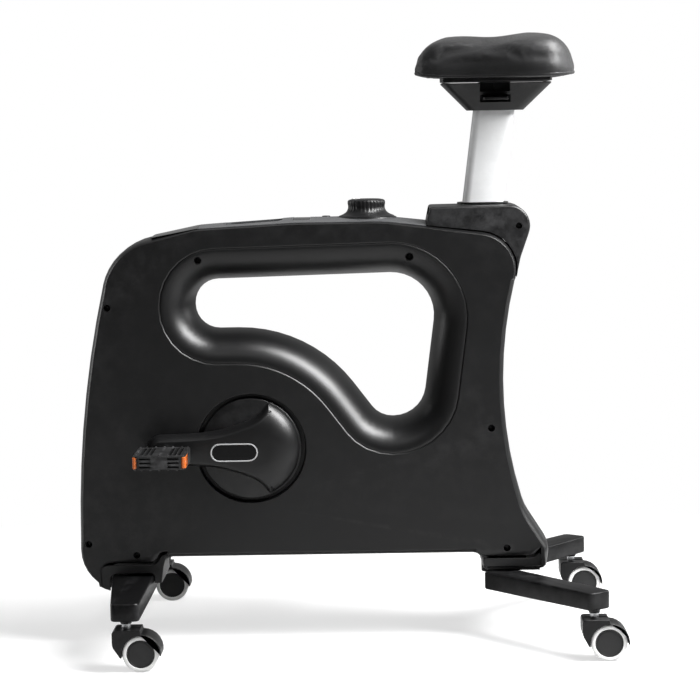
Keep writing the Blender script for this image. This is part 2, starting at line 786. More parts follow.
softbox("key", (-0.6, -2.3, 2.6), (1.2, 0.6), 5.0)
softbox("high right", (1.20, -0.50, 2.00), (1.0, 1.8), 200.0)
softbox("rear rim", (2.6, 1.3, 1.6), (0.6, 1.8), 22.0)
softbox("front rim", (-2.6, 0.9, 1.1), (0.7, 1.8), 16.0)
print("stage ready")

# %% [markdown]
# ## The two shells
#
# The body is two moulded halves that meet in the middle plane. Each is one surface: an edge band that rounds
# over towards the side, the flat side itself, a round lip that rolls into the grip window, and a shallow well
# for the crank's disc. It could be sculpted, but rings of points that grow and shrink from two outlines give
# exactly the CAD model's shape with as many steps as the light needs.

# %% Shell outlines
# x, z, corner radius, and how far the side's edge is set in
BODY_OUTLINE = (
    (-0.4270, 0.0965, 0.072, 0.0070),
    (-0.3790, 0.0815, 0.000, 0.0025),
    (-0.3790, 0.1210, 0.016, 0.0025),
    (-0.3090, 0.1210, 0.010, 0.0010),
    (-0.3090, 0.0930, 0.000, 0.0008),
    (-0.2970, 0.0930, 0.000, 0.0008),
    (-0.2920, 0.1305, 0.014, 0.0110),
    (0.2040, 0.1305, 0.012, 0.0110),
    (0.2110, 0.1055, 0.008, 0.0030),
    (0.3110, 0.1055, 0.012, 0.0050),
    (0.3170, 0.1400, 0.020, 0.0090),
    (0.2799, 0.1980, 0.110, 0.0090),
    (0.2234, 0.3865, 0.660, 0.0090),
    (0.2850, 0.6327, 0.061, 0.0060),
    (0.0600, 0.6585, 0.150, 0.0030),
    (-0.0800, 0.6585, 0.200, 0.0030),
    (-0.2310, 0.6513, 0.060, 0.0030),
    (-0.3665, 0.6265, 0.095, 0.0080),
    (-0.4270, 0.3680, 1.748, 0.0090),
)
WINDOW_OUTLINE = (
    (-0.2390, 0.4905, 0.038),
    (-0.0580, 0.4905, 0.227),
    (0.0514, 0.3448, 0.040),
    (0.1185, 0.3448, 0.052),
    (0.1498, 0.5765, 0.068),
    (-0.2390, 0.5685, 0.038),
)
HALF_WIDTH = 0.075
HALF_SEAM = 0.00015
WALL = 0.003
# Distance from the seam, and share of the inset reached there
EDGE_RINGS = (
    (0.004, 0.0),
    (0.028, 0.06),
    (0.046, 0.13),
    (0.056, 0.20),
    (0.062, 0.32),
    (0.066, 0.44),
    (0.069, 0.56),
    (0.0715, 0.70),
    (0.0735, 0.84),
    (0.0747, 0.94),
    (0.075, 1.0),
)
LIP_WIDTH, LIP_GROOVE, LIP_GROOVE_DEPTH, LIP_STEPS = 0.052, 0.003, 0.0016, 18
SEAM_FLAT = 0.004
CRANK = (-0.1514, 0.3060)
WELL_RADIUS, WELL_DEPTH, WELL_CHAMFER, WELL_SIDES = 0.086, 0.015, 0.0014, 96
HUB_HOLE_RADIUS = 0.016
SHELL_SAG = 0.0003

body_points = rounded(BODY_OUTLINE, SHELL_SAG)
body_loop = [point[:2] for point in body_points]
insets = [point[2] for point in body_points]
window_loop = rounded(WINDOW_OUTLINE, SHELL_SAG)
print("shell outline", len(body_loop), "points, window", len(window_loop))


# %% Shell surface
def shell_surface(side):
    """The edge band, the window's lip, the crank well and the side plane of one half."""
    shape = bmesh.new()

    def ring(points, depth):
        return [shape.verts.new((x, side * depth, z)) for x, z in points]

    edge = [ring(body_loop, HALF_SEAM)]
    for depth, share in EDGE_RINGS:
        edge.append(ring(grown(body_loop, [-share * inset for inset in insets]), depth))
    reach = LIP_WIDTH - LIP_GROOVE
    floor_depth = HALF_WIDTH - LIP_GROOVE_DEPTH / 3
    lip = [
        ring(grown(window_loop, LIP_WIDTH + 0.0006), HALF_WIDTH),
        ring(grown(window_loop, LIP_WIDTH - 0.0004), HALF_WIDTH - 0.0005),
        ring(grown(window_loop, LIP_WIDTH - LIP_GROOVE / 2), HALF_WIDTH - LIP_GROOVE_DEPTH),
        ring(grown(window_loop, reach + 0.0004), floor_depth - 0.0003),
        ring(grown(window_loop, reach - 0.0008), floor_depth),
    ]
    for step in range(1, LIP_STEPS + 1):
        angle = math.pi / 2 * step / LIP_STEPS
        depth = max(floor_depth * math.cos(angle), SEAM_FLAT)
        lip.append(ring(grown(window_loop, reach * (1 - math.sin(angle))), depth))
    lip.append(ring(window_loop, HALF_SEAM))
    floor_level = HALF_WIDTH - WELL_DEPTH
    well = [
        ring(circle(CRANK, WELL_RADIUS + WELL_CHAMFER, WELL_SIDES), HALF_WIDTH),
        ring(circle(CRANK, WELL_RADIUS + WELL_CHAMFER / 3, WELL_SIDES), HALF_WIDTH - WELL_CHAMFER / 3),
        ring(circle(CRANK, WELL_RADIUS, WELL_SIDES), HALF_WIDTH - WELL_CHAMFER),
        ring(circle(CRANK, WELL_RADIUS, WELL_SIDES), floor_level + 0.001),
        ring(circle(CRANK, WELL_RADIUS - 0.001, WELL_SIDES), floor_level),
        ring(circle(CRANK, HUB_HOLE_RADIUS, WELL_SIDES), floor_level),
    ]
    for rings in (edge, lip, well):
        for first, second in zip(rings, rings[1:]):
            bridge(shape, first, second)
    loops = []
    for corners in (edge[-1], lip[0], well[0]):
        loops += [shape.edges.get((a, b)) for a, b in zip(corners, corners[1:] + corners[:1])]
    flat = bmesh.ops.triangle_fill(shape, use_beauty=True, use_dissolve=True, edges=loops)
    for face in [item for item in flat["geom"] if isinstance(item, bmesh.types.BMFace)]:
        face.normal_update()
    bmesh.ops.recalc_face_normals(shape, faces=shape.faces)
    outward = sum(face.normal.y * face.calc_area() for face in shape.faces if abs(face.normal.y) > 0.99)
    if outward * side < 0:
        bmesh.ops.reverse_faces(shape, faces=shape.faces)
    return shape


# %% [markdown]
# The shells have holes where other pieces pass: the seat tube at the top, the frame's two feet below, the
# console's tray and the knob's shaft. The side that is seen also has seven deep screw recesses. The holes are
# cut with Booleans after the wall has its thickness, so that their edges show a real wall.

# %% Shells with their holes
SEAT_LEAN = math.radians(7.45)
SEAT_FOOT = (0.2192, 0.681)
POST_LENGTH, POST_WIDTH, POST_CORNER, POST_WALL = 0.0645, 0.034, 0.013, 0.002
SCREW_HOLES = (
    (-0.3719, 0.5304),
    (-0.4105, 0.1573),
    (-0.3353, 0.1386),
    (-0.2284, 0.6026),
    (0.1017, 0.6029),
    (0.2261, 0.3323),
    (0.2482, 0.1420),
)
SCREW_HOLE_RADIUS, SCREW_HOLE_DEPTH = 0.0055, 0.014
seat_frame = Matrix.Translation((SEAT_FOOT[0], 0.0, SEAT_FOOT[1])) @ Matrix.Rotation(SEAT_LEAN, 4, "Y")


def along_seat(height):
    """Distance along the seat axis at a height."""
    return (height - SEAT_FOOT[1]) / math.cos(SEAT_LEAN)


def post_shape(length, width, corner, bottom, top, bore=None):
    """A rounded prism along the seat axis, hollow where bore gives its size and corner."""
    outline = rectangle((-length / 2, length / 2), (-width / 2, width / 2), corner)
    holes = []
    if bore:
        holes = [rectangle((-bore[0] / 2, bore[0] / 2), (-bore[1] / 2, bore[1] / 2), bore[2])]
    shape = slab(outline, bottom, top, holes=holes)
    shape.transform(seat_frame)
    return shape


def shell_holes():
    frame_low, frame_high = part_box("main_frame")
    return [
        post_shape(0.075, 0.045, 0.017, along_seat(0.560), along_seat(0.700)),
        block((-0.3635, -0.3205), (-0.0215, 0.0215), (0.117, 0.127)),
        block((0.2155, 0.3015), (frame_low.y - 0.0015, frame_high.y + 0.0015), (0.1015, 0.1145)),
        block((-0.205, -0.020), (-0.047, 0.047), (0.645, 0.670)),
        slab(circle((0.0353, 0.0), 0.007, 32), 0.645, 0.670),
    ]


def shell(side):
    name = side_name("shell", side)
    made = piece(
        name,
        shell_surface(side),
        "frame_body",
        SHELL_BLACK,
        [f"{side_name('', side)[1:]}_shell"],
    )
    wall = made.modifiers.new("wall", "SOLIDIFY")
    wall.thickness = WALL
    wall.offset = -1.0
    wall.use_even_offset = True
    cuts = shell_holes()
    if side < 0:
        for x, z in SCREW_HOLES:
            cuts.append(y_bar((x, z), SCREW_HOLE_RADIUS, -HALF_WIDTH - 0.003, -HALF_WIDTH + SCREW_HOLE_DEPTH))
    carve(made, *cuts)
    print(name, len(made.data.polygons), "faces")
    return smooth(made, 24)


shell(-1)
shell(1)

# %% [markdown]
# Below a groove over each foot the side steps in by a few millimetres, and the upper face rolls over into
# the groove like a pillow's edge. A bevel can't do that, because its width changes along the groove. So the
# face is cut back to a line above the groove, and a flat oval bead, lofted along that line, rolls over in
# its place. A skirt plate follows below the groove. In both lists the fourth number is half the bead's
# height there.

# %% Beads and skirts over the feet
FRONT_GROOVE = (
    (-0.3900, 0.0890, 0.000, 0.0030),
    (-0.3900, 0.1262, 0.013, 0.0055),
    (-0.3060, 0.1262, 0.016, 0.0100),
    (-0.2985, 0.1420, 0.006, 0.0045),
    (-0.2860, 0.1440, 0.000, 0.0030),
)
REAR_GROOVE = (
    (0.1975, 0.1420, 0.000, 0.0030),
    (0.2085, 0.1290, 0.010, 0.0095),
    (0.2900, 0.1290, 0.012, 0.0095),
    (0.3040, 0.1440, 0.000, 0.0030),
)
FRONT_SKIRT = (
    (-0.3945, 0.0890, 0.000),
    (-0.3945, 0.1228, 0.012),
    (-0.3045, 0.1228, 0.016),
    (-0.2960, 0.1385, 0.008),
    (-0.2885, 0.1385, 0.000),
    (-0.2935, 0.1200, 0.004),
    (-0.2972, 0.0945, 0.001),
    (-0.3084, 0.0945, 0.001),
    (-0.3084, 0.1090, 0.006),
    (-0.3782, 0.1090, 0.010),
    (-0.3782, 0.0822, 0.000),
    (-0.3868, 0.0850, 0.000),
)
REAR_SKIRT = (
    (0.2125, 0.1120, 0.004),
    (0.2095, 0.1255, 0.004),
    (0.2910, 0.1255, 0.010),
    (0.3020, 0.1370, 0.004),
    (0.3050, 0.1120, 0.006),
)
BEAD_DEPTH, BEAD_STEPS = 0.0040, 16
SKIRT_FACE, SKIRT_WALL = 0.0733, 0.0030


def bead_line(groove):
    """Centres of the bead's sections, with the direction across the bead and half its height."""
    points = rounded(groove, SHELL_SAG)
    line = []
    for number, (x, z, half) in enumerate(points):
        before, after = points[max(number - 1, 0)], points[min(number + 1, len(points) - 1)]
        along = Vector((after[0] - before[0], after[1] - before[1])).normalized()
        across = Vector((-along.y, along.x))
        line.append((Vector((x, z)) + across * half, across, half))
    return line


def bead(name, groove, side):
    rings = []
    for centre, across, half in bead_line(groove):
        ring = []
        for step in range(BEAD_STEPS):
            angle = 2 * math.pi * step / BEAD_STEPS
            spot = centre + across * half * math.cos(angle)
            ring.append((spot.x, side * (HALF_WIDTH - 0.0001 - BEAD_DEPTH * (1 - math.sin(angle))), spot.y))
        rings.append(ring)
    made = piece(name, skin(rings), "frame_body", SHELL_BLACK)
    if side < 0:
        for x, z in SCREW_HOLES:
            if z < 0.150:
                carve(
                    made,
                    y_bar((x, z), SCREW_HOLE_RADIUS, -HALF_WIDTH - 0.003, -HALF_WIDTH + SCREW_HOLE_DEPTH),
                )
    return smooth(made, 50)


def set_back(groove, side):
    """The part of the shell's side between a bead's middle line and the ground."""
    outline = [tuple(centre) for centre, _, _ in bead_line(groove)]
    outline += [(outline[-1][0], 0.05), (outline[0][0], 0.05)]
    return slab(outline, *span(side, 0.0712, 0.0790), "Y")


def skirt(name, corners, side):
    shape = slab(rounded(corners), *span(side, SKIRT_FACE - SKIRT_WALL, SKIRT_FACE), "Y")
    return soften(piece(name, shape, "frame_body", SHELL_BLACK), 0.0011, 3, 50)


for side in (-1, 1):
    half_shell = EVERY_PIECE[side_name("shell", side)]
    # The EXACT solver returned an empty mesh here and MANIFOLD doesn't. The cause wasn't looked into.
    carve(half_shell, set_back(FRONT_GROOVE, side), set_back(REAR_GROOVE, side), solver="MANIFOLD")
    for face in smooth(half_shell, 24).data.polygons:
        face.use_smooth = abs(face.normal.y) < 0.9999
    bead(side_name("front_bead", side), FRONT_GROOVE, side)
    bead(side_name("rear_bead", side), REAR_GROOVE, side)
    skirt(side_name("front_skirt", side), FRONT_SKIRT, side)
    skirt(side_name("rear_skirt", side), REAR_SKIRT, side)
print("beads and skirts made")

# %% [markdown]
# A recess is a boss that is moulded into the shell, a tube with the screw at its bottom. From outside only
# its rim, its dark wall and the cross of the screw's head are seen.

# %% Screw bosses and screws
BOSS_WALL = 0.0014
SCREW_RADIUS, SCREW_HEAD = 0.0046, 0.0022


def boss(number, x, z):
    """The tube behind a recess, open towards the outside."""
    floor_depth = SCREW_HOLE_DEPTH
    profile = (
        (SCREW_HOLE_RADIUS, 0.0014),
        (SCREW_HOLE_RADIUS, floor_depth),
        (0.0, floor_depth),
        (0.0, floor_depth + BOSS_WALL),
        (SCREW_HOLE_RADIUS + BOSS_WALL, floor_depth + BOSS_WALL),
        (SCREW_HOLE_RADIUS + BOSS_WALL, 0.0031),
        (SCREW_HOLE_RADIUS + 0.0002, 0.0031),
    )
    shape = lathe(profile, (x, -HALF_WIDTH, z), (0, 1, 0), 32)
    return smooth(piece(f"screw_boss_{number}", shape, "frame_body", SHELL_BLACK))


def cross_screw(name, centre, axis, radius=SCREW_RADIUS, head=SCREW_HEAD, body="frame_body", turn=0.4):
    """A pan-head screw with a cross recess, its head's underside at centre."""
    profile = (
        (0.0, head),
        (radius * 0.55, head * 0.93),
        (radius * 0.85, head * 0.68),
        (radius, head * 0.2),
        (radius, 0.0),
        (0.0, 0.0),
    )
    made = piece(name, lathe(profile, (0, 0, 0), (0, 0, 1), 40), body, BLACK_OXIDE)
    arm, slot_half = radius * 0.62, radius * 0.13
    bars = []
    for way in (0.0, math.pi / 2):
        bar = block((-arm, arm), (-slot_half, slot_half), (head * 0.35, head * 2))
        bar.transform(Matrix.Rotation(way + turn, 4, "Z"))
        bars.append(bar)
    carve(made, bars[0])
    carve(made, bars[1])
    aim = Vector(axis).to_track_quat("Z", "Y").to_matrix().to_4x4()
    made.data.transform(Matrix.Translation(Vector(centre)) @ aim)
    return smooth(made, 28)


for number, (x, z) in enumerate(SCREW_HOLES):
    boss(number, x, z)
    cross_screw(
        f"shell_screw_{number}", (x, -HALF_WIDTH + SCREW_HOLE_DEPTH, z), (0, -1, 0), turn=0.3 + number
    )
print("screws", len(SCREW_HOLES))

# %% [markdown]
# ## Crank covers
#
# The arm hides under a fan-shaped cover: narrow at the pedal, spread over the disc at the hub, and domed,
# so that a soft light lies on its broad end. The dome is made of copies of one outline that shrink as they
# rise along a quarter of an ellipse. On the disc's rim they shrink more, and on the hub's side each point's
# height also follows from how far it lies inside that rim, which gives the long slope towards it.

# %% Cover outline
COVER_DISC_RADIUS, COVER_DISC_THICKNESS = 0.079, 0.007
COVER_WELL_GAP, COVER_WALL, COVER_RISE, COVER_BODY_GAP = 0.006, 0.0025, 0.026, 0.002
CRANK_LENGTH, COVER_END = 0.1310, 0.164
# Distance from the hub towards the pedal, and half height
COVER_FAN = (
    (-0.025, 0.069),
    (-0.017, 0.058),
    (0.000, 0.046),
    (0.035, 0.034),
    (0.058, 0.029),
    (0.086, 0.026),
    (0.125, 0.0245),
)
COVER_STEPS = 12


def flowing(knots, steps=6):
    """Points along a Catmull-Rom curve through (x, z) knots."""
    places = [Vector(knot) for knot in knots]
    places = [2 * places[0] - places[1], *places, 2 * places[-1] - places[-2]]
    fine = []
    for before, here, there, after in zip(places, places[1:], places[2:], places[3:]):
        for step in range(steps):
            t = step / steps
            fine.append(
                here
                + 0.5 * t * (there - before)
                + 0.5 * t * t * (2 * before - 5 * here + 4 * there - after)
                + 0.5 * t * t * t * (3 * here - before - 3 * there + after)
            )
    return [tuple(point) for point in (*fine, places[-2])]


def fan_outline(way):
    """The cover's outline, counter-clockwise, with the pedal at way * X."""
    tip_radius = COVER_FAN[-1][1]
    back_radius = COVER_DISC_RADIUS - 0.002
    sides = flowing(COVER_FAN)[1:-1]
    points = arc((COVER_END - tip_radius, 0.0), tip_radius, -85, 85)
    points += list(reversed(sides))
    points += arc((0.0, 0.0), back_radius, 112, 248)
    points += [(along, -half) for along, half in sides]
    if way < 0:
        points = [(-x, z) for x, z in reversed(points)]
    return [(CRANK[0] + x, CRANK[1] + z) for x, z in points]


# %% Covers and their discs
def crank_cover(side):
    way = side
    outline = fan_outline(way)
    disc_inner = HALF_WIDTH - WELL_DEPTH + COVER_WELL_GAP
    disc_outer = disc_inner + COVER_DISC_THICKNESS
    crest = HALF_WIDTH + COVER_RISE
    back_radius, back_reach = COVER_DISC_RADIUS - 0.002, 0.047
    lows, reaches, on_rim = [], [], []
    for x, z in outline:
        from_hub = math.dist((x, z), CRANK)
        lows.append(
            disc_outer - 0.001 if from_hub < COVER_DISC_RADIUS - 0.001 else HALF_WIDTH + COVER_BODY_GAP
        )
        on_rim.append(from_hub > back_radius - 0.0005 and (x - CRANK[0]) * way < -0.02)
        from_tip = min(1.0, 2.5 * (1 - abs(z - CRANK[1]) / (back_radius * 0.927)))
        reaches.append(0.011 + (back_reach - 0.011) * from_tip if on_rim[-1] else 0.011)
    rings = []
    for number in range(COVER_STEPS + 1):
        turn = math.pi / 2 * number / COVER_STEPS
        moved = grown(outline, [-amount * (1 - math.cos(turn)) for amount in reaches])
        ring = []
        for (x, z), low, rim in zip(moved, lows, on_rim):
            inside = min(1.0, max(0.0, (back_radius - math.dist((x, z), CRANK)) / back_reach))
            share = min(1.0, max(0.0, (0.02 - (x - CRANK[0]) * way) / 0.03))
            slope = 1 - share * (1 - math.sqrt(1 - (1 - inside) ** 2))
            level = slope if rim else slope * math.sin(turn)
            ring.append((x, side * (low + (crest - low) * level), z))
        rings.append(ring)
    shape = bmesh.new()
    made = [[shape.verts.new(point) for point in ring] for ring in rings]
    for first, second in zip(made, made[1:]):
        bridge(shape, first, second)
    rim = [shape.edges.get((a, b)) for a, b in zip(made[-1], made[-1][1:] + made[-1][:1])]
    bmesh.ops.triangle_fill(shape, use_beauty=True, use_dissolve=False, edges=rim)
    for face in shape.faces:
        face.normal_update()
    bmesh.ops.recalc_face_normals(shape, faces=shape.faces)
    if sum(face.normal.y * face.calc_area() for face in shape.faces) * side < 0:
        bmesh.ops.reverse_faces(shape, faces=shape.faces)
    node = side_name("crank_cover", side)
    cover = piece(side_name("cover_fan", side), shape, "crank_set", SHELL_BLACK, [node])
    wall = cover.modifiers.new("wall", "SOLIDIFY")
    wall.thickness = COVER_WALL
    wall.offset = -1.0
    tip = (CRANK[0] + way * CRANK_LENGTH, CRANK[1])
    carve(cover, y_bar(tip, 0.0072, side * (crest - 0.012), side * (crest + 0.01), 40))
    smooth(cover, 50)
    profile = (
        (0.010, COVER_DISC_THICKNESS),
        (COVER_DISC_RADIUS - 0.0018, COVER_DISC_THICKNESS),
        (COVER_DISC_RADIUS - 0.0006, COVER_DISC_THICKNESS - 0.0006),
        (COVER_DISC_RADIUS, COVER_DISC_THICKNESS - 0.0018),
        (COVER_DISC_RADIUS, 0.0),
        (0.010, 0.0),
    )
    disc = piece(
        side_name("cover_disc", side),
        lathe(profile, (CRANK[0], side * disc_inner, CRANK[1]), (0, side, 0), 128),
        "crank_set",
        SHELL_BLACK,
        [node],
    )
    smooth(disc, 50)
    return cover


covers = [crank_cover(side) for side in (-1, 1)]

# %% [markdown]
# Each cover carries an oval badge: a bright metal rim round a polished black plate. The plate is bare. The
# rim is a slab with a hole, and its bevel is what makes it a bright line rather than a grey band.

# %% Cover badges
BADGE_CENTRE_SHIFT, BADGE_DROP = 0.0250, 0.0025
BADGE_LENGTH, BADGE_HEIGHT, BADGE_RIM_WIDTH, BADGE_THICKNESS = 0.074, 0.0285, 0.0020, 0.0012


def pill(centre, length, height):
    x, z = centre
    return rectangle(
        (x - length / 2, x + length / 2), (z - height / 2, z + height / 2), height / 2 - 0.0001
    )


for side in (-1, 1):
    centre = (CRANK[0] + side * BADGE_CENTRE_SHIFT, CRANK[1] - BADGE_DROP)
    crest = side * (HALF_WIDTH + COVER_RISE)
    outer = pill(centre, BADGE_LENGTH, BADGE_HEIGHT)
    inner = pill(centre, BADGE_LENGTH - 2 * BADGE_RIM_WIDTH, BADGE_HEIGHT - 2 * BADGE_RIM_WIDTH)
    low, high = sorted((crest - side * 0.0004, crest + side * BADGE_THICKNESS))
    rim = piece(
        side_name("badge_rim", side), slab(outer, low, high, "Y", [inner]), "crank_set", BADGE_RIM
    )
    soften(rim, 0.0004, 2)
    low, high = sorted((crest - side * 0.0004, crest + side * BADGE_THICKNESS * 0.6))
    plate = piece(
        side_name("badge_plate", side), slab(inner, low, high, "Y"), "crank_set", GLOSS_BLACK
    )
    soften(plate, 0.0002, 1)
print("covers", len(covers))

# %% [markdown]
# ## Pedals
#
# A platform pedal is a moulded cage: a hub with the bearings, bars across, a toothed frame for grip and two
# reflectors. The outline with its slots becomes a slab, the ends get side slots, and rows of small teeth
# stand on both faces of the frame. Single teeth are cheap as pyramids with cut tips, made by one loop.

# %% Pedal body
PEDAL_INNER, PEDAL_WIDTH, PEDAL_LENGTH, PEDAL_THICKNESS = 0.120, 0.102, 0.080, 0.025
PEDAL_CORNER, PEDAL_SLOT, PEDAL_ROWS, PEDAL_HUB = 0.009, 0.0052, 3, 0.0105
PEDAL_SPINDLE_RADIUS, PEDAL_SPINDLE_REACH = 0.006, 0.205
REFLECTOR_LENGTH, REFLECTOR_DEPTH, REFLECTOR_HEIGHT = 0.042, 0.0072, 0.017
TOOTH_HALF, TOOTH_TIP, TOOTH_HEIGHT, TOOTH_PITCH = 0.0017, 0.0009, 0.0022, 0.0088


def tooth(shape, x, y, z, way):
    """A pyramid with a cut tip, standing up or down from a face."""
    foot = [
        shape.verts.new((x + a * TOOTH_HALF, y + b * TOOTH_HALF, z))
        for a, b in ((-1, -1), (1, -1), (1, 1), (-1, 1))
    ]
    tip = [
        shape.verts.new((x + a * TOOTH_TIP, y + b * TOOTH_TIP, z + way * TOOTH_HEIGHT))
        for a, b in ((-1, -1), (1, -1), (1, 1), (-1, 1))
    ]
    bridge(shape, foot, tip)
    shape.faces.new(tip)
    shape.faces.new(list(reversed(foot)))


def pedal(side):
    body = side_name("pedal", side).replace("pedal_", "") + "_pedal"
    axle = (CRANK[0] + side * CRANK_LENGTH, CRANK[1])
    half = PEDAL_LENGTH / 2
    low = axle[1] - PEDAL_THICKNESS / 2 + TOOTH_HEIGHT
    high = axle[1] + PEDAL_THICKNESS / 2 - TOOTH_HEIGHT
    ys = span(side, PEDAL_INNER, PEDAL_INNER + PEDAL_WIDTH)
    outline = rectangle((axle[0] - half, axle[0] + half), ys, PEDAL_CORNER)
    bar = (half - PEDAL_HUB - 0.008 - PEDAL_ROWS * PEDAL_SLOT) / (PEDAL_ROWS + 0.5)
    slot_ys = span(side, PEDAL_INNER + 0.011, PEDAL_INNER + PEDAL_WIDTH - 0.012)
    rows = []
    for way in (-1, 1):
        at = PEDAL_HUB + bar
        for _ in range(PEDAL_ROWS):
            xs = sorted((axle[0] + way * at, axle[0] + way * (at + PEDAL_SLOT)))
            rows.append(rectangle(xs, slot_ys, PEDAL_SLOT * 0.3))
            at += PEDAL_SLOT + bar
    made = piece(
        side_name("pedal_cage", side), slab(outline, low, high, holes=rows), body, PEDAL_BLACK,
        [side_name("pedal", side)],
    )
    far = side * (PEDAL_INNER + PEDAL_WIDTH)
    cuts = []
    for way in (-1, 1):
        for level in (-0.3, 0.0, 0.3):
            middle = axle[1] + level * (high - low)
            xs = sorted((axle[0] + way * 0.013, axle[0] + way * (half - 0.010)))
            cuts.append(
                block(
                    xs, sorted((far - side * 0.005, far + side * 0.002)), (middle - 0.0014, middle + 0.0014)
                )
            )
        edge = axle[0] + way * (half + 0.0005)
        xs = sorted((edge + way * 0.01, edge - way * (REFLECTOR_DEPTH + 0.0004)))
        room = span(
            side, PEDAL_INNER + PEDAL_WIDTH - 0.0014 - REFLECTOR_LENGTH, PEDAL_INNER + PEDAL_WIDTH - 0.0006
        )
        level = REFLECTOR_HEIGHT / 2 + 0.0004
        cuts.append(block(xs, room, (axle[1] - level, axle[1] + level)))
    cuts.append(
        y_bar(
            axle,
            PEDAL_SPINDLE_RADIUS + 0.0003,
            side * (PEDAL_INNER - 0.01),
            side * (PEDAL_SPINDLE_REACH + 0.001),
        )
    )
    carve(made, *cuts)
    soften(made, 0.0007, 2, 40)
    shape = bmesh.new()
    count = round((PEDAL_WIDTH - 0.016) / TOOTH_PITCH)
    for number in range(count + 1):
        y = side * (PEDAL_INNER + 0.008 + number * (PEDAL_WIDTH - 0.016) / count)
        for way in (-1, 1):
            for face, up in ((high, 1), (low, -1)):
                tooth(shape, axle[0] + way * (half - 0.0035), y, face - up * 0.0002, up)
    for number in range(1, 6):
        x = axle[0] - half + number * PEDAL_LENGTH / 6
        for y in (PEDAL_INNER + 0.0045, PEDAL_INNER + PEDAL_WIDTH - 0.0045):
            for face, up in ((high, 1), (low, -1)):
                tooth(shape, x, side * y, face - up * 0.0002, up)
    bmesh.ops.recalc_face_normals(shape, faces=shape.faces)
    piece(side_name("pedal_teeth", side), shape, body, PEDAL_BLACK)
    hub_profile = (
        (PEDAL_SPINDLE_RADIUS + 0.0003, 0.0),
        (PEDAL_HUB - 0.001, 0.0),
        (PEDAL_HUB, 0.001),
        (PEDAL_HUB, PEDAL_WIDTH - 0.003),
        (PEDAL_HUB - 0.001, PEDAL_WIDTH - 0.002),
        (PEDAL_SPINDLE_RADIUS + 0.0003, PEDAL_WIDTH - 0.002),
    )
    hub = lathe(hub_profile, (axle[0], side * (PEDAL_INNER + 0.001), axle[1]), (0, side, 0), 40)
    smooth(piece(side_name("pedal_hub", side), hub, body, PEDAL_BLACK), 30)
    cap = lathe(
        ((0.0, 0.0028), (0.0070, 0.0020), (0.0082, 0.0), (0.0, 0.0)),
        (axle[0], far - side * 0.0028, axle[1]),
        (0, side, 0),
        32,
    )
    smooth(piece(side_name("pedal_dust_cap", side), cap, body, PEDAL_BLACK), 30)
    for way, place in ((-1, "front"), (1, "rear")):
        edge = axle[0] + way * (half + 0.0005)
        xs = sorted((edge, edge - way * REFLECTOR_DEPTH))
        near = span(
            side, PEDAL_INNER + PEDAL_WIDTH - 0.001 - REFLECTOR_LENGTH, PEDAL_INNER + PEDAL_WIDTH - 0.001
        )
        outline = rectangle(xs, near, 0.0025)
        node = f"{side_name('pedal_reflector', side)}_{place}"
        lens = slab(outline, axle[1] - REFLECTOR_HEIGHT / 2, axle[1] + REFLECTOR_HEIGHT / 2)
        soften(
            piece(f"{side_name('reflector', side)}_{place}", lens, body, AMBER, [node]), 0.0008, 3
        )
    return made


pedals = [pedal(side) for side in (-1, 1)]
print("pedals", len(pedals))

# %% [markdown]
# ## Console
#
# A strip of satin grey plastic lies along the body's top, higher in its middle than at its rims. Its front
# end is a glossy black trim, and it has a tray for a phone, a display lens and a button. The strip follows
# the shell's own outline, so its height is read from that outline at each station rather than typed in
# again.

# %% Height of the body's top
TOP_INSET = BODY_OUTLINE[14][3]


def top_of(loop, x):
    """The highest z of a closed loop at x."""
    heights = []
    for (x0, z0), (x1, z1) in zip(loop, loop[1:] + loop[:1]):
        if min(x0, x1) <= x <= max(x0, x1) and x0 != x1:
            heights.append(z0 + (z1 - z0) * (x - x0) / (x1 - x0))
    return max(heights)


def edge_share(across):
    """Share of the inset at a distance from the seam, as on the CAD model."""
    rings = ((0.0, 0.0), (0.004, 0.0), (0.054, 0.16), (0.068, 0.52), (HALF_WIDTH, 1.0))
    for (near, low), (far, high) in zip(rings, rings[1:]):
        if across <= far:
            return low + (high - low) * (across - near) / (far - near)
    return 1.0


def body_top(x, across=0.0):
    return top_of(body_loop, x) - TOP_INSET * edge_share(abs(across))


# %% Console strip
GAP = 0.0003
PANEL_FRONT, PANEL_REAR, PANEL_HALF, PANEL_RIM = -0.302, 0.128, 0.065, 0.0012
PANEL_CROWN = ((-0.302, 0.0015), (-0.206, 0.0035), (-0.080, 0.0055), (0.128, 0.0055))
TRIM_REAR = -0.228
TRAY_FRONT, TRAY_REAR, TRAY_HALF = -0.190, -0.097, 0.042
TRAY_DEPTH, TRAY_CORNER = 0.0075, 0.012
LENS_FRONT, LENS_REAR, LENS_HALF = -0.080, -0.054, 0.045
LENS_RECESS, LENS_THICKNESS = 0.0005, 0.0012
BUTTON_X, BUTTON_Y, BUTTON_RADIUS, BUTTON_PROUD = -0.029, 0.012, 0.0065, 0.0014
KNOB_X, KNOB_RING_RADIUS, KNOB_RING_HEIGHT = 0.0353, 0.0475, 0.0051
KNOB_SHAFT_RADIUS = 0.006


def crown_at(x):
    for (x0, low), (x1, high) in zip(PANEL_CROWN, PANEL_CROWN[1:]):
        if x <= x1:
            return low + (high - low) * (x - x0) / (x1 - x0)
    return PANEL_CROWN[-1][1]


def panel_under(x, across):
    return body_top(x, across) + GAP


def panel_over(x, across):
    middle = body_top(x) + GAP + crown_at(x)
    rim = panel_under(x, PANEL_HALF) + PANEL_RIM
    return middle - (middle - rim) * (across / PANEL_HALF) ** 2


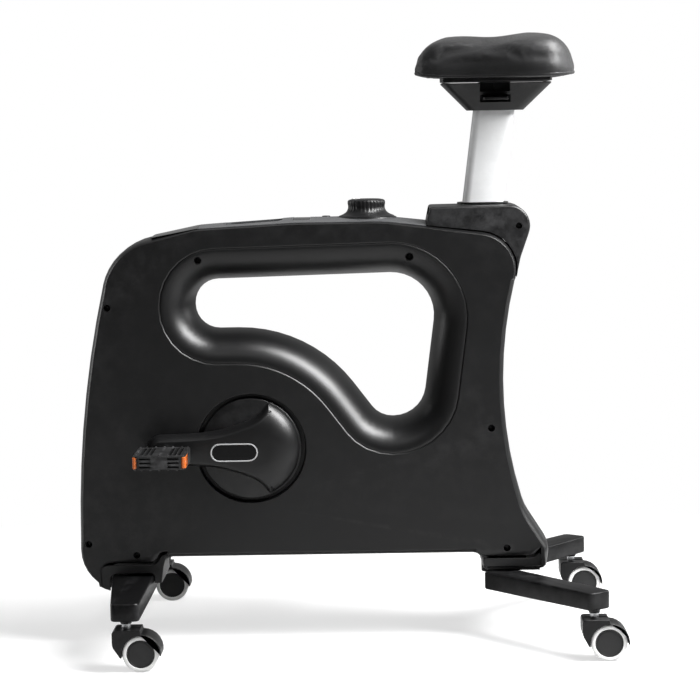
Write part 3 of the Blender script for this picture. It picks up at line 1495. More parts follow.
def crowned_slab(front, rear, half, lower, upper, pace=0.008):
    """A slab between two height functions of x and y."""
    count = max(2, round((rear - front) / pace))
    stations = [front + (rear - front) * number / count for number in range(count + 1)]
    half_steps = max(3, round(half / 0.006))
    across_all = [half * number / half_steps for number in range(-half_steps, half_steps + 1)]
    rings = []
    for x in stations:
        over = [(x, y, upper(x, y)) for y in across_all]
        under = [(x, y, lower(x, y)) for y in reversed(across_all)]
        rings.append(over + under)
    return skin(rings)


def console_strip():
    panel_shape = crowned_slab(TRIM_REAR + GAP, PANEL_REAR, PANEL_HALF, panel_under, panel_over)
    panel = piece("console_strip", panel_shape, "frame_body", CONSOLE_GREY, ["console_panel"])
    tray_top = body_top(TRAY_FRONT)
    tray_floor = tray_top - TRAY_DEPTH
    tray = rectangle((TRAY_FRONT, TRAY_REAR), (-TRAY_HALF, TRAY_HALF), TRAY_CORNER)
    lens_floor = LENS_RECESS + LENS_THICKNESS + GAP
    lens_room = crowned_slab(
        LENS_FRONT - GAP,
        LENS_REAR + GAP,
        LENS_HALF + GAP,
        lambda x, y: panel_over(x, y) - lens_floor,
        lambda x, y: panel_over(x, y) + 0.004,
    )
    carve(
        panel,
        slab(tray, tray_floor - 0.01, tray_top + 0.02),
        lens_room,
        slab(circle((KNOB_X, 0.0), KNOB_RING_RADIUS + 0.0006, 96), 0.64, 0.68),
        slab(circle((BUTTON_X, BUTTON_Y), BUTTON_RADIUS + 0.0003, 48), 0.64, 0.68),
    )
    soften(panel, 0.0006, 2, 30)
    wall_outline = rectangle(
        (
            TRAY_FRONT - 0.0018, TRAY_REAR + 0.0018
        ), (-TRAY_HALF - 0.0018, TRAY_HALF + 0.0018), TRAY_CORNER + 0.0018
    )
    rings = [
        [(x, y, tray_top - 0.0002) for x, y in wall_outline],
        [(x, y, tray_floor - 0.002) for x, y in wall_outline],
        [(x, y, tray_floor - 0.002) for x, y in grown(tray, -0.004)],
    ]
    inner = [
        [(x, y, tray_floor) for x, y in grown(tray, -0.0028)],
        [(x, y, tray_floor + 0.0008) for x, y in grown(tray, -0.0008)],
        [(x, y, tray_floor + 0.0028) for x, y in tray],
        [(x, y, tray_top - 0.0002) for x, y in tray],
    ]
    tub = bmesh.new()
    made = [[tub.verts.new(point) for point in ring] for ring in inner]
    for first, second in zip(made, made[1:]):
        bridge(tub, first, second)
    tub.faces.new(made[0])
    outside = [[tub.verts.new(point) for point in ring] for ring in rings[:2]]
    bridge(tub, *outside)
    tub.faces.new(outside[1])
    bmesh.ops.bridge_loops(
        tub,
        edges=[
            tub.edges.get((a, b))
            for loop in (made[-1], outside[0]) for a, b in zip(loop, loop[1:] + loop[:1])
        ],
    )
    bmesh.ops.recalc_face_normals(tub, faces=tub.faces)
    smooth(piece("console_tray", tub, "frame_body", CONSOLE_GREY, ["console_panel"]), 40)
    trim_shape = crowned_slab(PANEL_FRONT, TRIM_REAR, PANEL_HALF, panel_under, panel_over, 0.006)
    trim = piece("console_front_trim", trim_shape, "frame_body", GLOSS_BLACK, ["console_trim"])
    soften(trim, 0.0005, 2, 30)
    lens_shape = crowned_slab(
        LENS_FRONT,
        LENS_REAR,
        LENS_HALF,
        lambda x, y: panel_over(x, y) - LENS_RECESS - LENS_THICKNESS,
        lambda x, y: panel_over(x, y) - LENS_RECESS,
        0.004,
    )
    lens = piece("display_window", lens_shape, "frame_body", GLOSS_BLACK, ["display_lens"])
    soften(lens, 0.0003, 2, 30)
    return panel


console_strip()

# %% [markdown]
# The resistance knob is turned, but not only turned: thirty shallow flutes run up its grip. A lathe gives
# round rings, so the flutes are pressed in afterwards by moving each vertex of the grip towards the axis by a
# cosine of its angle. A line on the crown shows which way the knob points.

# %% Button, ring and knob
KNOB_PROFILE = (
    (0.0240, 0.0272),
    (0.0272, 0.0264),
    (0.0288, 0.0253),
    (0.0296, 0.0238),
    (0.0298, 0.0207),
    (0.0292, 0.0180),
    (0.0290, 0.0157),
    (0.0292, 0.0130),
    (0.0300, 0.0107),
    (0.0315, 0.0080),
    (0.0340, 0.0057),
    (0.0375, 0.0036),
    (0.0410, 0.0022),
    (0.0432, 0.0014),
    (0.0440, 0.0007),
    (0.0440, 0.0000),
)
KNOB_CROWN = ((0.0, 0.0282), (0.008, 0.0281), (0.016, 0.0279), (0.021, 0.0277))
KNOB_FLUTES, FLUTE_DEPTH = 30, 0.0007
knob_foot = body_top(KNOB_X) + GAP + KNOB_RING_HEIGHT


def knob():
    profile = [(radius, knob_foot + height) for radius, height in (*KNOB_CROWN, *KNOB_PROFILE)]
    profile += [
        (KNOB_SHAFT_RADIUS, knob_foot), (KNOB_SHAFT_RADIUS, knob_foot - 0.0145), (0.0, knob_foot - 0.0145)
    ]
    shape = lathe(profile, (0, 0, 0), steps=240)
    grip = (knob_foot + 0.0105, knob_foot + 0.0240)
    for corner in shape.verts:
        if grip[0] < corner.co.z < grip[1] and corner.co.xy.length > 0.02:
            angle = math.atan2(corner.co.y, corner.co.x)
            press = FLUTE_DEPTH * (0.5 - 0.5 * math.cos(KNOB_FLUTES * angle)) ** 2
            corner.co.xy *= 1 - press / corner.co.xy.length
    shape.transform(Matrix.Translation((KNOB_X, 0.0, 0.0)))
    made = smooth(piece("resistance_dial", shape, "knob", CAP_BLACK, ["resistance_knob"]), 40)
    mark = slab(
        rectangle((KNOB_X - 0.0225, KNOB_X - 0.0100), (-0.0009, 0.0009), 0.0008),
        knob_foot + 0.0274,
        knob_foot + 0.0283,
    )
    piece("dial_mark", mark, "knob", TREAD_WHITE)
    return made


def knob_base():
    foot = knob_foot - KNOB_RING_HEIGHT
    profile = (
        (KNOB_SHAFT_RADIUS + 0.0006, knob_foot - 0.0012),
        (0.0430, knob_foot - 0.0010),
        (0.0442, knob_foot - 0.0004),
        (KNOB_RING_RADIUS - 0.0014, knob_foot - 0.0004),
        (KNOB_RING_RADIUS - 0.0004, knob_foot - 0.0008),
        (KNOB_RING_RADIUS, knob_foot - 0.0018),
        (KNOB_RING_RADIUS, foot),
        (KNOB_SHAFT_RADIUS + 0.0006, foot),
    )
    made = piece(
        "dial_ring",
        lathe(profile, (KNOB_X, 0, 0), steps=96),
        "frame_body",
        CAP_BLACK,
        ["knob_ring"],
    )
    return smooth(made, 40)


def mode_button():
    top = panel_over(BUTTON_X, BUTTON_Y) + BUTTON_PROUD
    profile = (
        (0.0, top - 0.0003),
        (BUTTON_RADIUS * 0.5, top - 0.0002),
        (BUTTON_RADIUS - 0.0014, top),
        (BUTTON_RADIUS - 0.0005, top - 0.0003),
        (BUTTON_RADIUS, top - 0.0010),
        (BUTTON_RADIUS, top - 0.011),
        (0.0, top - 0.011),
    )
    made = piece(
        "console_button",
        lathe(profile, (BUTTON_X, BUTTON_Y, 0), steps=64),
        "button",
        CAP_BLACK,
        ["mode_button"],
    )
    return smooth(made, 40)


knob(), knob_base(), mode_button()
print("console made, knob top", round(knob_foot + 0.0282, 4))

# %% [markdown]
# ## Rear cap and collar
#
# The cap is a hood over the body's rear top corner, where the seat post comes out. Its underside is the
# body's own outline grown by half a millimetre, and its top and back have their own few corners. Where the
# two meet, a real cap leaves a thin dark line, and that line shows here too.

# %% Rear cap
CAP_HALF_WIDTH, CAP_CLEARANCE = 0.063, 0.0005
CAP_FRONT, CAP_TOP, CAP_TIP = 0.1285, 0.6805, (0.2686, 0.568)
CAP_EDGE = ((0.275, 0.598, 0.04), (0.2888, 0.637, 0.08), (0.300, 0.6805, 0.032))
CAP_SCREW = (0.2731, 0.6478)
CAP_ROUNDING = 0.0042


def rear_cap():
    seam = [(x, z + CAP_CLEARANCE) for x, z in body_loop]
    under = [
        point for point in grown(body_loop, CAP_CLEARANCE) if point[0] > CAP_FRONT and point[1] > CAP_TIP[1]
    ]
    under.sort(
        key=lambda point: math.atan2(point[1] - CAP_TIP[1] + 0.01, point[0] - CAP_FRONT + 0.01), reverse=True
    )
    rough = [(*CAP_TIP, 0.0), *CAP_EDGE]
    rough += [(0.134, CAP_TOP - 0.0015, 0.005), (CAP_FRONT, top_of(seam, CAP_FRONT), 0.0)]
    outline = rounded(rough) + under
    fixed = {(round(x, 6), round(z, 6)) for x, z in under}
    held = [
        (round(x, 6), round(z, 6)) in fixed or (x < 0.2 and z < top_of(seam, x) + 0.0004) for x, z in outline
    ]
    rings = []
    for number in range(6):
        turn = math.pi / 2 * number / 5
        inset = CAP_ROUNDING * (1 - math.sin(turn))
        y = CAP_HALF_WIDTH - CAP_ROUNDING * (1 - math.cos(turn))
        amounts = [0.0 if keep else -inset for keep in held]
        rings.append((y, grown(outline, amounts)))
    left = [[(x, -y, z) for x, z in ring] for y, ring in rings]
    right = [[(x, y, z) for x, z in ring] for y, ring in reversed(rings)]
    cap = piece("post_cap", skin(left + right), "frame_body", CAP_BLACK, ["rear_cap"])
    hollow = [
        (CAP_FRONT + WALL, CAP_EDGE[0][1] + 0.002, 0.0),
        (CAP_EDGE[0][0] - WALL, CAP_EDGE[0][1] + 0.002, 0.0),
        (CAP_EDGE[1][0] - WALL, CAP_EDGE[1][1], 0.05),
        (CAP_EDGE[2][0] - 1.5 * WALL, CAP_TOP - WALL, 0.028),
        (CAP_FRONT + WALL, CAP_TOP - WALL - 0.001, 0.004),
    ]
    inner = CAP_HALF_WIDTH - WALL
    carve(
        cap,
        slab(rounded(hollow), -inner, inner, "Y"),
        post_shape(
            POST_LENGTH + 0.003, POST_WIDTH + 0.003, POST_CORNER + 0.001, along_seat(0.66), along_seat(0.70)
        ),
        y_bar(CAP_SCREW, 0.0050, -CAP_HALF_WIDTH - 0.002, -CAP_HALF_WIDTH + 0.006),
    )
    smooth(cap, 28)
    profile = (
        (0.0050, 0.0008), (0.0050, 0.0082), (0.0, 0.0082), (0.0, 0.0096), (0.0062, 0.0096), (0.0062, 0.0008)
    )
    cup = piece(
        "cap_screw_boss",
        lathe(profile, (CAP_SCREW[0], -CAP_HALF_WIDTH, CAP_SCREW[1]), (0, 1, 0), 32),
        "frame_body",
        CAP_BLACK,
    )
    smooth(cup)
    cross_screw("cap_screw", (CAP_SCREW[0], -CAP_HALF_WIDTH + 0.0082, CAP_SCREW[1]), (0, -1, 0), 0.0042)
    return cap


def post_collar():
    low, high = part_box("post_collar")
    outline = rectangle((low.x, high.x), (low.y, high.y), (high.y - low.y) / 2 - 0.001)
    made = piece(
        "post_sleeve", slab(outline, low.z, high.z), "frame_body", CAP_BLACK, ["post_collar"]
    )
    carve(
        made,
        post_shape(
            POST_LENGTH + 0.001, POST_WIDTH + 0.001, POST_CORNER + 0.0005, along_seat(0.66), along_seat(0.70)
        ),
    )
    return soften(made, 0.0010, 3)


rear_cap(), post_collar()
print("cap and collar made")

# %% [markdown]
# ## Seat post and its fittings
#
# The post is a hollow rounded tube that leans back a little. Under the saddle a moulded shroud, wide at the
# top and narrow at the foot, hides the clamp. It is open towards the rider's left, where the clamp, its bolt
# and the height lever are seen.

# %% Post, shroud and lever
POST_BELOW = 0.230
SADDLE_BASE_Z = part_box("saddle_base")[0].z
POST_TOP_Z = SADDLE_BASE_Z - 0.0375
SHROUD_TOP_X, SHROUD_TOP_Y, SHROUD_TOP_Z = (0.155, 0.328), 0.045, SADDLE_BASE_Z - 0.0025
SHROUD_FOOT_X, SHROUD_FOOT_Y, SHROUD_FOOT_Z = (0.196, 0.284), 0.030, SHROUD_TOP_Z - 0.0421
SHROUD_WALL, SHROUD_CORNER = 0.0025, 0.016
clamp_low, clamp_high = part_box("seat_clamp")


def seat_tube():
    bore = (POST_LENGTH - 2 * POST_WALL, POST_WIDTH - 2 * POST_WALL, POST_CORNER - POST_WALL)
    shape = post_shape(POST_LENGTH, POST_WIDTH, POST_CORNER, -POST_BELOW, along_seat(POST_TOP_Z), bore)
    made = piece("silver_post", shape, "seat", SILVER_PAINT, ["seat_post"])
    return smooth(made, 40)


def shroud_half(z):
    share = (z - SHROUD_FOOT_Z) / (SHROUD_TOP_Z - SHROUD_FOOT_Z)
    return SHROUD_FOOT_Y + (SHROUD_TOP_Y - SHROUD_FOOT_Y) * share


def shroud():
    """A hollow, tapered box with rounded corners, closed at its foot round the post."""
    rings = []
    for share in (0.0, 0.25, 0.5, 0.75, 1.0):
        z = SHROUD_FOOT_Z + (SHROUD_TOP_Z - SHROUD_FOOT_Z) * share
        front = SHROUD_FOOT_X[0] + (SHROUD_TOP_X[0] - SHROUD_FOOT_X[0]) * share
        rear = SHROUD_FOOT_X[1] + (SHROUD_TOP_X[1] - SHROUD_FOOT_X[1]) * share
        half = shroud_half(z)
        rings.append([(x, y, z) for x, y in rectangle((front, rear), (-half, half), SHROUD_CORNER)])
    shape = bmesh.new()
    made = [[shape.verts.new(point) for point in ring] for ring in rings]
    for first, second in zip(made, made[1:]):
        bridge(shape, first, second)
    shape.faces.new(list(reversed(made[0])))
    bmesh.ops.recalc_face_normals(shape, faces=shape.faces)
    lowest = min(shape.faces, key=lambda face: face.calc_center_median().z)
    if lowest.normal.z > 0:
        bmesh.ops.reverse_faces(shape, faces=shape.faces)
    cover = piece("seat_cover", shape, "seat", CAP_BLACK, ["seat_shroud"])
    wall = cover.modifiers.new("wall", "SOLIDIFY")
    wall.thickness = SHROUD_WALL
    wall.offset = -1.0
    wall.use_even_offset = True
    side = SHROUD_TOP_Y + 0.01
    window_z = (SHROUD_TOP_Z - 0.0125, SHROUD_TOP_Z + 0.0105)
    slot_z = (POST_TOP_Z + 0.0060, POST_TOP_Z + 0.0170)
    carve(
        cover,
        post_shape(
            POST_LENGTH + 0.0006,
            POST_WIDTH + 0.0006,
            POST_CORNER + 0.0003,
            along_seat(SHROUD_FOOT_Z - 0.02),
            along_seat(SHROUD_FOOT_Z + 0.02),
        ),
        block(
            (clamp_low.x + 0.001, clamp_high.x - 0.002), (-side, -shroud_half(window_z[0]) + 0.012), window_z
        ),
        block((clamp_low.x + 0.001, clamp_high.x - 0.001), (-side, -shroud_half(slot_z[0]) + 0.012), slot_z),
    )
    return soften(cover, 0.0007, 2, 30)


def lever():
    low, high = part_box("release_lever")
    middle = (low.z + high.z) / 2
    barrel = lathe(
        ((0.0023, 0.0), (0.0042, 0.0), (0.0042, high.x - low.x), (0.0023, high.x - low.x)),
        (low.x, -0.028, middle),
        (1, 0, 0),
        32,
    )
    smooth(piece("lever_barrel", barrel, "lever", CAP_BLACK, ["release_lever"]), 35)
    outline = rectangle((low.x, high.x), (low.y, -0.029), 0.006)
    blade = piece(
        "lever_paddle",
        slab(outline, middle - 0.002, middle + 0.002),
        "lever",
        CAP_BLACK,
        ["release_lever"],
    )
    soften(blade, 0.0011, 3)


seat_tube()
shroud()
lever()
print("post, shroud and lever made")

# %% [markdown]
# ## Saddle
#
# The saddle is foam under a synthetic leather cover, drawn down over a plastic base. A plain subdivision
# surface gives the big shape: nose, waist and wings. It shrinks away from its cage, so the cage is first
# pushed out until the round surface passes through the points that were measured. What makes it soft is
# what cloth does, so the shape is remeshed, blown up a little from a slightly smaller start, and held so
# that no point strays far. Its lower edge stays crisp on the real saddle, because the cover is pulled over
# a hard rim there.

# %% Saddle cage
SADDLE_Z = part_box("saddle_base")[1].z + 0.0007
SADDLE_STATIONS = (
    (0.1150, 0.0062, 0.0140, 0.013),
    (0.1170, 0.0056, 0.0245, 0.026),
    (0.1215, 0.0045, 0.0360, 0.037),
    (0.1295, 0.0030, 0.0492, 0.045),
    (0.1405, 0.0020, 0.0566, 0.051),
    (0.1545, 0.0010, 0.0594, 0.057),
    (0.1945, 0.0000, 0.0605, 0.070),
    (0.2345, 0.0000, 0.0582, 0.092),
    (0.2745, 0.0000, 0.0625, 0.117),
    (0.3145, 0.0003, 0.0658, 0.127),
    (0.3345, 0.0010, 0.0610, 0.121),
    (0.3475, 0.0018, 0.0512, 0.104),
    (0.3565, 0.0028, 0.0395, 0.078),
    (0.3615, 0.0036, 0.0275, 0.050),
    (0.3637, 0.0042, 0.0145, 0.024),
)
SADDLE_DROOP = 0.0025
SADDLE_SECTION = (
    (0.00, 1.00),
    (0.38, 0.99),
    (0.72, 0.93),
    (0.93, 0.76),
    (1.00, 0.42),
    (0.99, -0.10),
    (0.88, -0.10),
    (0.78, 0.00),
    (0.40, 0.03),
    (0.00, 0.05),
)
SADDLE_END_SECTION = (
    (0.00, 1.00),
    (0.38, 0.98),
    (0.70, 0.90),
    (0.92, 0.72),
    (1.00, 0.48),
    (0.94, 0.26),
    (0.80, 0.12),
    (0.60, 0.05),
    (0.34, 0.01),
    (0.00, -0.01),
)


def saddle_cage():
    shape = bmesh.new()
    rings = []
    last = len(SADDLE_STATIONS) - 1
    for number, (x, under, over, half) in enumerate(SADDLE_STATIONS):
        low, top = SADDLE_Z + under, SADDLE_Z + over
        at_end = number in (0, last)
        right = []
        for across, up in SADDLE_END_SECTION if at_end else SADDLE_SECTION:
            hangs = up < 0 and not at_end
            z = low - SADDLE_DROOP if hangs else low + (top - low) * up
            right.append((across * half, z))
        points = right + [(-y, z) for y, z in reversed(right[1:-1])]
        rings.append([shape.verts.new((x, y, z)) for y, z in points])
    for first, second in zip(rings, rings[1:]):
        bridge(shape, first, second)
    count = len(rings[0])
    lowest = len(SADDLE_SECTION) - 1
    for ring in (rings[0], rings[-1]):
        shape.faces.new((ring[0], ring[1], ring[count - 1]))
        for i in range(1, lowest - 1):
            shape.faces.new((ring[i], ring[i + 1], ring[count - i - 1], ring[count - i]))
        shape.faces.new((ring[lowest - 1], ring[lowest], ring[lowest + 1]))
    bmesh.ops.recalc_face_normals(shape, faces=shape.faces)
    return shape


# %% Saddle as cloth
SADDLE_SHRINK, SADDLE_SWELL_LIMIT, VOXEL = 0.0022, 0.0048, 0.005
CLOTH_FRAMES, CLOTH_PRESSURE, PIN_TOP, PIN_FADE = 20, 4.0, 0.026, 0.012


def blown_up(made):
    """Swells a remeshed pad as pressurised cloth that is pinned along the hard rim, and caps each move."""
    remesh = made.modifiers.new("even faces", "REMESH")
    remesh.mode = "VOXEL"
    remesh.voxel_size = VOXEL
    applied(made)
    pins = made.vertex_groups.new(name="pins")
    for corner, normal in [(corner, corner.normal.copy()) for corner in made.data.vertices]:
        held = min(1.0, max(0.0, (PIN_TOP - (corner.co.z - SADDLE_Z)) / PIN_FADE))
        pins.add([corner.index], held, "REPLACE")
        corner.co -= normal * SADDLE_SHRINK * (1 - held)
    before = [corner.co.copy() for corner in made.data.vertices]
    cloth = made.modifiers.new("cover", "CLOTH")
    cloth.settings.use_pressure = True
    cloth.settings.uniform_pressure_force = CLOTH_PRESSURE
    cloth.settings.effector_weights.gravity = 0.0
    cloth.settings.quality = 6
    cloth.settings.vertex_group_mass = "pins"
    scene = bpy.context.scene
    for number in range(1, CLOTH_FRAMES + 1):
        scene.frame_set(number)
    applied(made)
    scene.frame_set(1)
    for corner, start in zip(made.data.vertices, before):
        move = corner.co - start
        if move.length > SADDLE_SWELL_LIMIT:
            corner.co = start + move.normalized() * SADDLE_SWELL_LIMIT
    return made


def through_points(made, levels=2, rounds=5):
    """Moves a cage until its subdivided surface passes through the cage's first points."""
    wanted = [corner.co.copy() for corner in made.data.vertices]
    soft = made.modifiers.new("round", "SUBSURF")
    soft.levels = levels
    soft.render_levels = levels
    for _ in range(rounds):
        bpy.context.view_layer.update()
        rounded_mesh = made.evaluated_get(bpy.context.evaluated_depsgraph_get()).data
        now = [rounded_mesh.vertices[number].co.copy() for number in range(len(wanted))]
        for corner, target, reached in zip(made.data.vertices, wanted, now):
            corner.co += (target - reached) * 0.8
        made.data.update()
    applied(made)
    return made


def saddle():
    made = piece("saddle_pad", saddle_cage(), "seat", LEATHER, ["saddle_cushion"])
    through_points(made)
    blown_up(made)
    finer = made.modifiers.new("fine", "SUBSURF")
    finer.levels = 1
    finer.render_levels = 1
    applied(made)
    made.data.shade_smooth()
    print("saddle", len(made.data.vertices), "points")
    return made


saddle()

# %% Saddle rim
RIM_HEIGHT, RIM_WIDTH, RIM_ROUND = 0.0046, 0.0070, 0.0012


def saddle_rim():
    """The hard lower edge that the cover is pulled over, as a closed band under the cushion."""
    right = [
        (x, SADDLE_SECTION[5][0] * half, SADDLE_Z + under - SADDLE_DROOP)
        for x, under, _, half in SADDLE_STATIONS
    ]
    loop = right + [(x, -y, z) for x, y, z in reversed(right)]
    count = len(loop)
    shape = bmesh.new()
    rings = []
    for number, (x, y, z) in enumerate(loop):
        before, after = Vector(loop[number - 1][:2]), Vector(loop[(number + 1) % count][:2])
        along = (after - before).normalized()
        inward = Vector((-along.y, along.x))
        section = (
            (0.0, RIM_ROUND), (0.0, RIM_HEIGHT), (RIM_WIDTH, RIM_HEIGHT), (RIM_WIDTH, 0.0), (RIM_ROUND, 0.0)
        )
        ring = []
        for inset, up in section:
            spot = Vector((x, y)) + inward * inset * -1.0
            ring.append(shape.verts.new((spot.x, spot.y, z + up)))
        rings.append(ring)
    for number in range(count):
        bridge(shape, rings[number], rings[(number + 1) % count])
    bmesh.ops.recalc_face_normals(shape, faces=shape.faces)
    made = piece("saddle_rim", shape, "seat", LEATHER, ["saddle_cushion"])
    through_points(made, 2, 4)
    return smooth(made, 60)


saddle_rim()

# %% [markdown]
# The plastic base under the cushion is a plate with a lip that the cover is stapled round. Its outline is the
# saddle's own half width times a share, so the two always fit.

# %% Saddle base
BASE_SHARE, BASE_STEPS = 0.68, 6


def saddle_half(x):
    for (x0, _, _, low), (x1, _, _, high) in zip(SADDLE_STATIONS, SADDLE_STATIONS[1:]):
        if x <= x1:
            return low + (high - low) * (x - x0) / (x1 - x0)
    return SADDLE_STATIONS[-1][3]


def saddle_plate():
    low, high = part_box("saddle_base")
    step = (high.x - low.x) / BASE_STEPS
    stations = [low.x + step * number for number in range(BASE_STEPS + 1)]
    right = [(x, saddle_half(x) * BASE_SHARE) for x in stations]
    corners = [(x, -y, POST_CORNER) for x, y in right] + [(x, y, POST_CORNER) for x, y in reversed(right)]
    made = piece(
        "saddle_plate",
        slab(rounded(corners), low.z, high.z),
        "seat",
        CAP_BLACK,
        ["saddle_base"],
    )
    return soften(made, 0.0010, 3)


saddle_plate()

# %% [markdown]
# ## Base
#
# A steel bar lies across the front and two legs spread from the body's foot at the rear, all in black powder
# coat. They are bent from sheet, so their edges are rounder than those of a cut plate, and the open ends are
# closed by plastic plugs with a fine step round them. Hex bolts hold them from below.

# %% Bars and legs
LEG_BOTTOM, LEG_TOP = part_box("front_crossbar")[0].z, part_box("front_crossbar")[1].z
BAR_FRONT, BAR_REAR, BAR_MID_HALF = -0.375, -0.310, 0.075
BAR_END_FRONT, BAR_END_REAR, BAR_END_HALF = -0.354, -0.3115, 0.288
LEG_CORNER, BAR_CORNER, BAR_EDGE = 0.009, 0.030, 0.0026
FRONT_SWIVEL, REAR_SWIVEL = (-0.33345, 0.265), (0.3710, 0.234)
REAR_LEG_ROOT, REAR_LEG_ROOT_WIDTH, REAR_LEG_END_WIDTH = (0.230, 0.0560), 0.054, 0.042
REAR_LEG_PAST_SWIVEL = 0.0158
BOLT_PLACES = {"front_bolt": (-0.342, 0.012), "rear_bolt": (0.246, 0.060)}
BOLT_HOLE, STEM_HOLE = 0.0052, 0.0061


def bolt_bore(name, side):
    x, y = BOLT_PLACES[name]
    return slab(circle((x, side * y), BOLT_HOLE, 32), LEG_BOTTOM - 0.01, LEG_TOP + 0.01)


def stem_bore(swivel, side):
    return slab(circle((swivel[0], side * swivel[1]), STEM_HOLE, 32), LEG_BOTTOM - 0.01, 0.0957)


def front_bar():
    half = [
        (BAR_END_FRONT, -BAR_END_HALF, LEG_CORNER),
        (BAR_END_REAR, -BAR_END_HALF, LEG_CORNER),
        (BAR_REAR, -BAR_MID_HALF, BAR_CORNER),
    ]
    corners = [*half, *[(x, -y, radius) for x, y, radius in reversed(half)]]
    corners += [(BAR_FRONT, BAR_MID_HALF, BAR_CORNER), (BAR_FRONT, -BAR_MID_HALF, BAR_CORNER)]
    shape = slab(rounded(corners), LEG_BOTTOM, LEG_TOP)
    made = piece("front_bar", shape, "frame_body", POWDER_COAT, ["front_crossbar"])
    soften(made, BAR_EDGE, 4, 40)
    applied(made)
    for side in (-1, 1):
        carve(made, bolt_bore("front_bolt", side), stem_bore(FRONT_SWIVEL, side))
    return smooth(made, 40)


def rear_leg(side):
    swivel = Vector((REAR_SWIVEL[0], side * REAR_SWIVEL[1]))
    root = Vector((REAR_LEG_ROOT[0], side * REAR_LEG_ROOT[1]))
    along = (swivel - root).normalized()
    across = Vector((along.y, -along.x)) * side
    end = swivel + along * REAR_LEG_PAST_SWIVEL
    corners = (
        root + across * REAR_LEG_ROOT_WIDTH / 2,
        end + across * REAR_LEG_END_WIDTH / 2,
        end - across * REAR_LEG_END_WIDTH / 2,
        root - across * REAR_LEG_ROOT_WIDTH / 2,
    )
    outline = rounded([(corner.x, corner.y, LEG_CORNER) for corner in corners])
    shape = slab(outline, LEG_BOTTOM, LEG_TOP)
    body, old = "frame_body", side_name("rear_leg", side)
    made = piece(side_name("tapered_leg", side), shape, body, POWDER_COAT, [old])
    soften(made, BAR_EDGE, 4, 40)
    applied(made)
    carve(made, bolt_bore("rear_bolt", side), stem_bore(REAR_SWIVEL, side))
    return smooth(made, 40)


def hex_bolt(name, side):
    """A flanged hex bolt from below, with a shank as long as the CAD one."""
    low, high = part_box(side_name(name, side))
    x, y = (low.x + high.x) / 2, (low.y + high.y) / 2
    head = LEG_BOTTOM - 0.0003 - low.z
    outline = circle((x, y), 0.0075, 6)
    made = piece(
        side_name(f"{name}_head", side),
        slab(outline, low.z, low.z + head - 0.0012),
        "frame_body",
        ZINC,
        [side_name(name, side)],
    )
    soften(made, 0.0006, 2)
    shank = lathe(
        (
            (0.0, 0.0),
            (0.0090, 0.0),
            (0.0094, 0.0012),
            (0.0046, 0.0012),
            (0.0046, high.z - LEG_BOTTOM),
            (0.0, high.z - LEG_BOTTOM),
        ),
        (x, y, LEG_BOTTOM - 0.0015),
        (0, 0, 1),
        32,
    )
    smooth(
        piece(side_name(f"{name}_shank", side), shank, "frame_body", ZINC, [side_name(name, side)]),
        35,
    )


front_bar()
for side in (-1, 1):
    rear_leg(side)
    hex_bolt("front_bolt", side)
    hex_bolt("rear_bolt", side)
print("base made")

# %% [markdown]
# ## Casters
#
# Each caster is a hood on a swivelling stem with a wheel on either side of its web. The hood's back follows
# the wheel, its top is flat round the stem, and it is thin enough round the arch to look hollow. A bright
# steel neck shows between hood and leg. The wheels have a soft white tread with rounded shoulders and a dark
# disc with a fine groove, a hub cap and five shallow moulded spokes on its outer face.

# %% Caster sizes
WHEEL_RADIUS, WHEEL_DISC_RADIUS = 0.0275, 0.02135
WHEEL_INNER, WHEEL_BORE_DEPTH = 0.0052, 0.013
AXLE_RADIUS, AXLE_HALF = 0.0035, 0.0175
HOOD_RADIUS, HOOD_HALF_WIDTH, HOOD_WALL, HOOD_WEB_HALF = 0.031, 0.025, 0.0024, 0.0042
HOOD_TOP, STEM_RADIUS, STEM_TOP, NECK_RADIUS = 0.064, 0.0055, 0.095, 0.009
FRONT_TRAIL, REAR_TRAIL = 0.0227, 0.0208


def hood_profile(axle, swivel_x, open_arch):
    """The hood's side view: a round back, a flat top, and the wheel arch when it is open."""
    front = swivel_x - 0.0195
    points = arc(axle, HOOD_RADIUS, -5, 88)
    points += [(axle[0], HOOD_TOP), (front + 0.005, HOOD_TOP)]
    points += arc((front + 0.005, HOOD_TOP - 0.005), 0.005, 95, 175)
    points += [
        (front, axle[1] + 0.018), (front + 0.0005, axle[1] + 0.0135), (front + 0.0016, axle[1] + 0.010)
    ]
    if open_arch:
        points += [polar(axle, HOOD_RADIUS, 189)]
        points += arc(axle, HOOD_RADIUS - HOOD_WALL, 191, -2)
    else:
        points += [polar(axle, HOOD_RADIUS - 0.003, 189), polar(axle, 0.016, 250), polar(axle, 0.016, 310)]
    return points


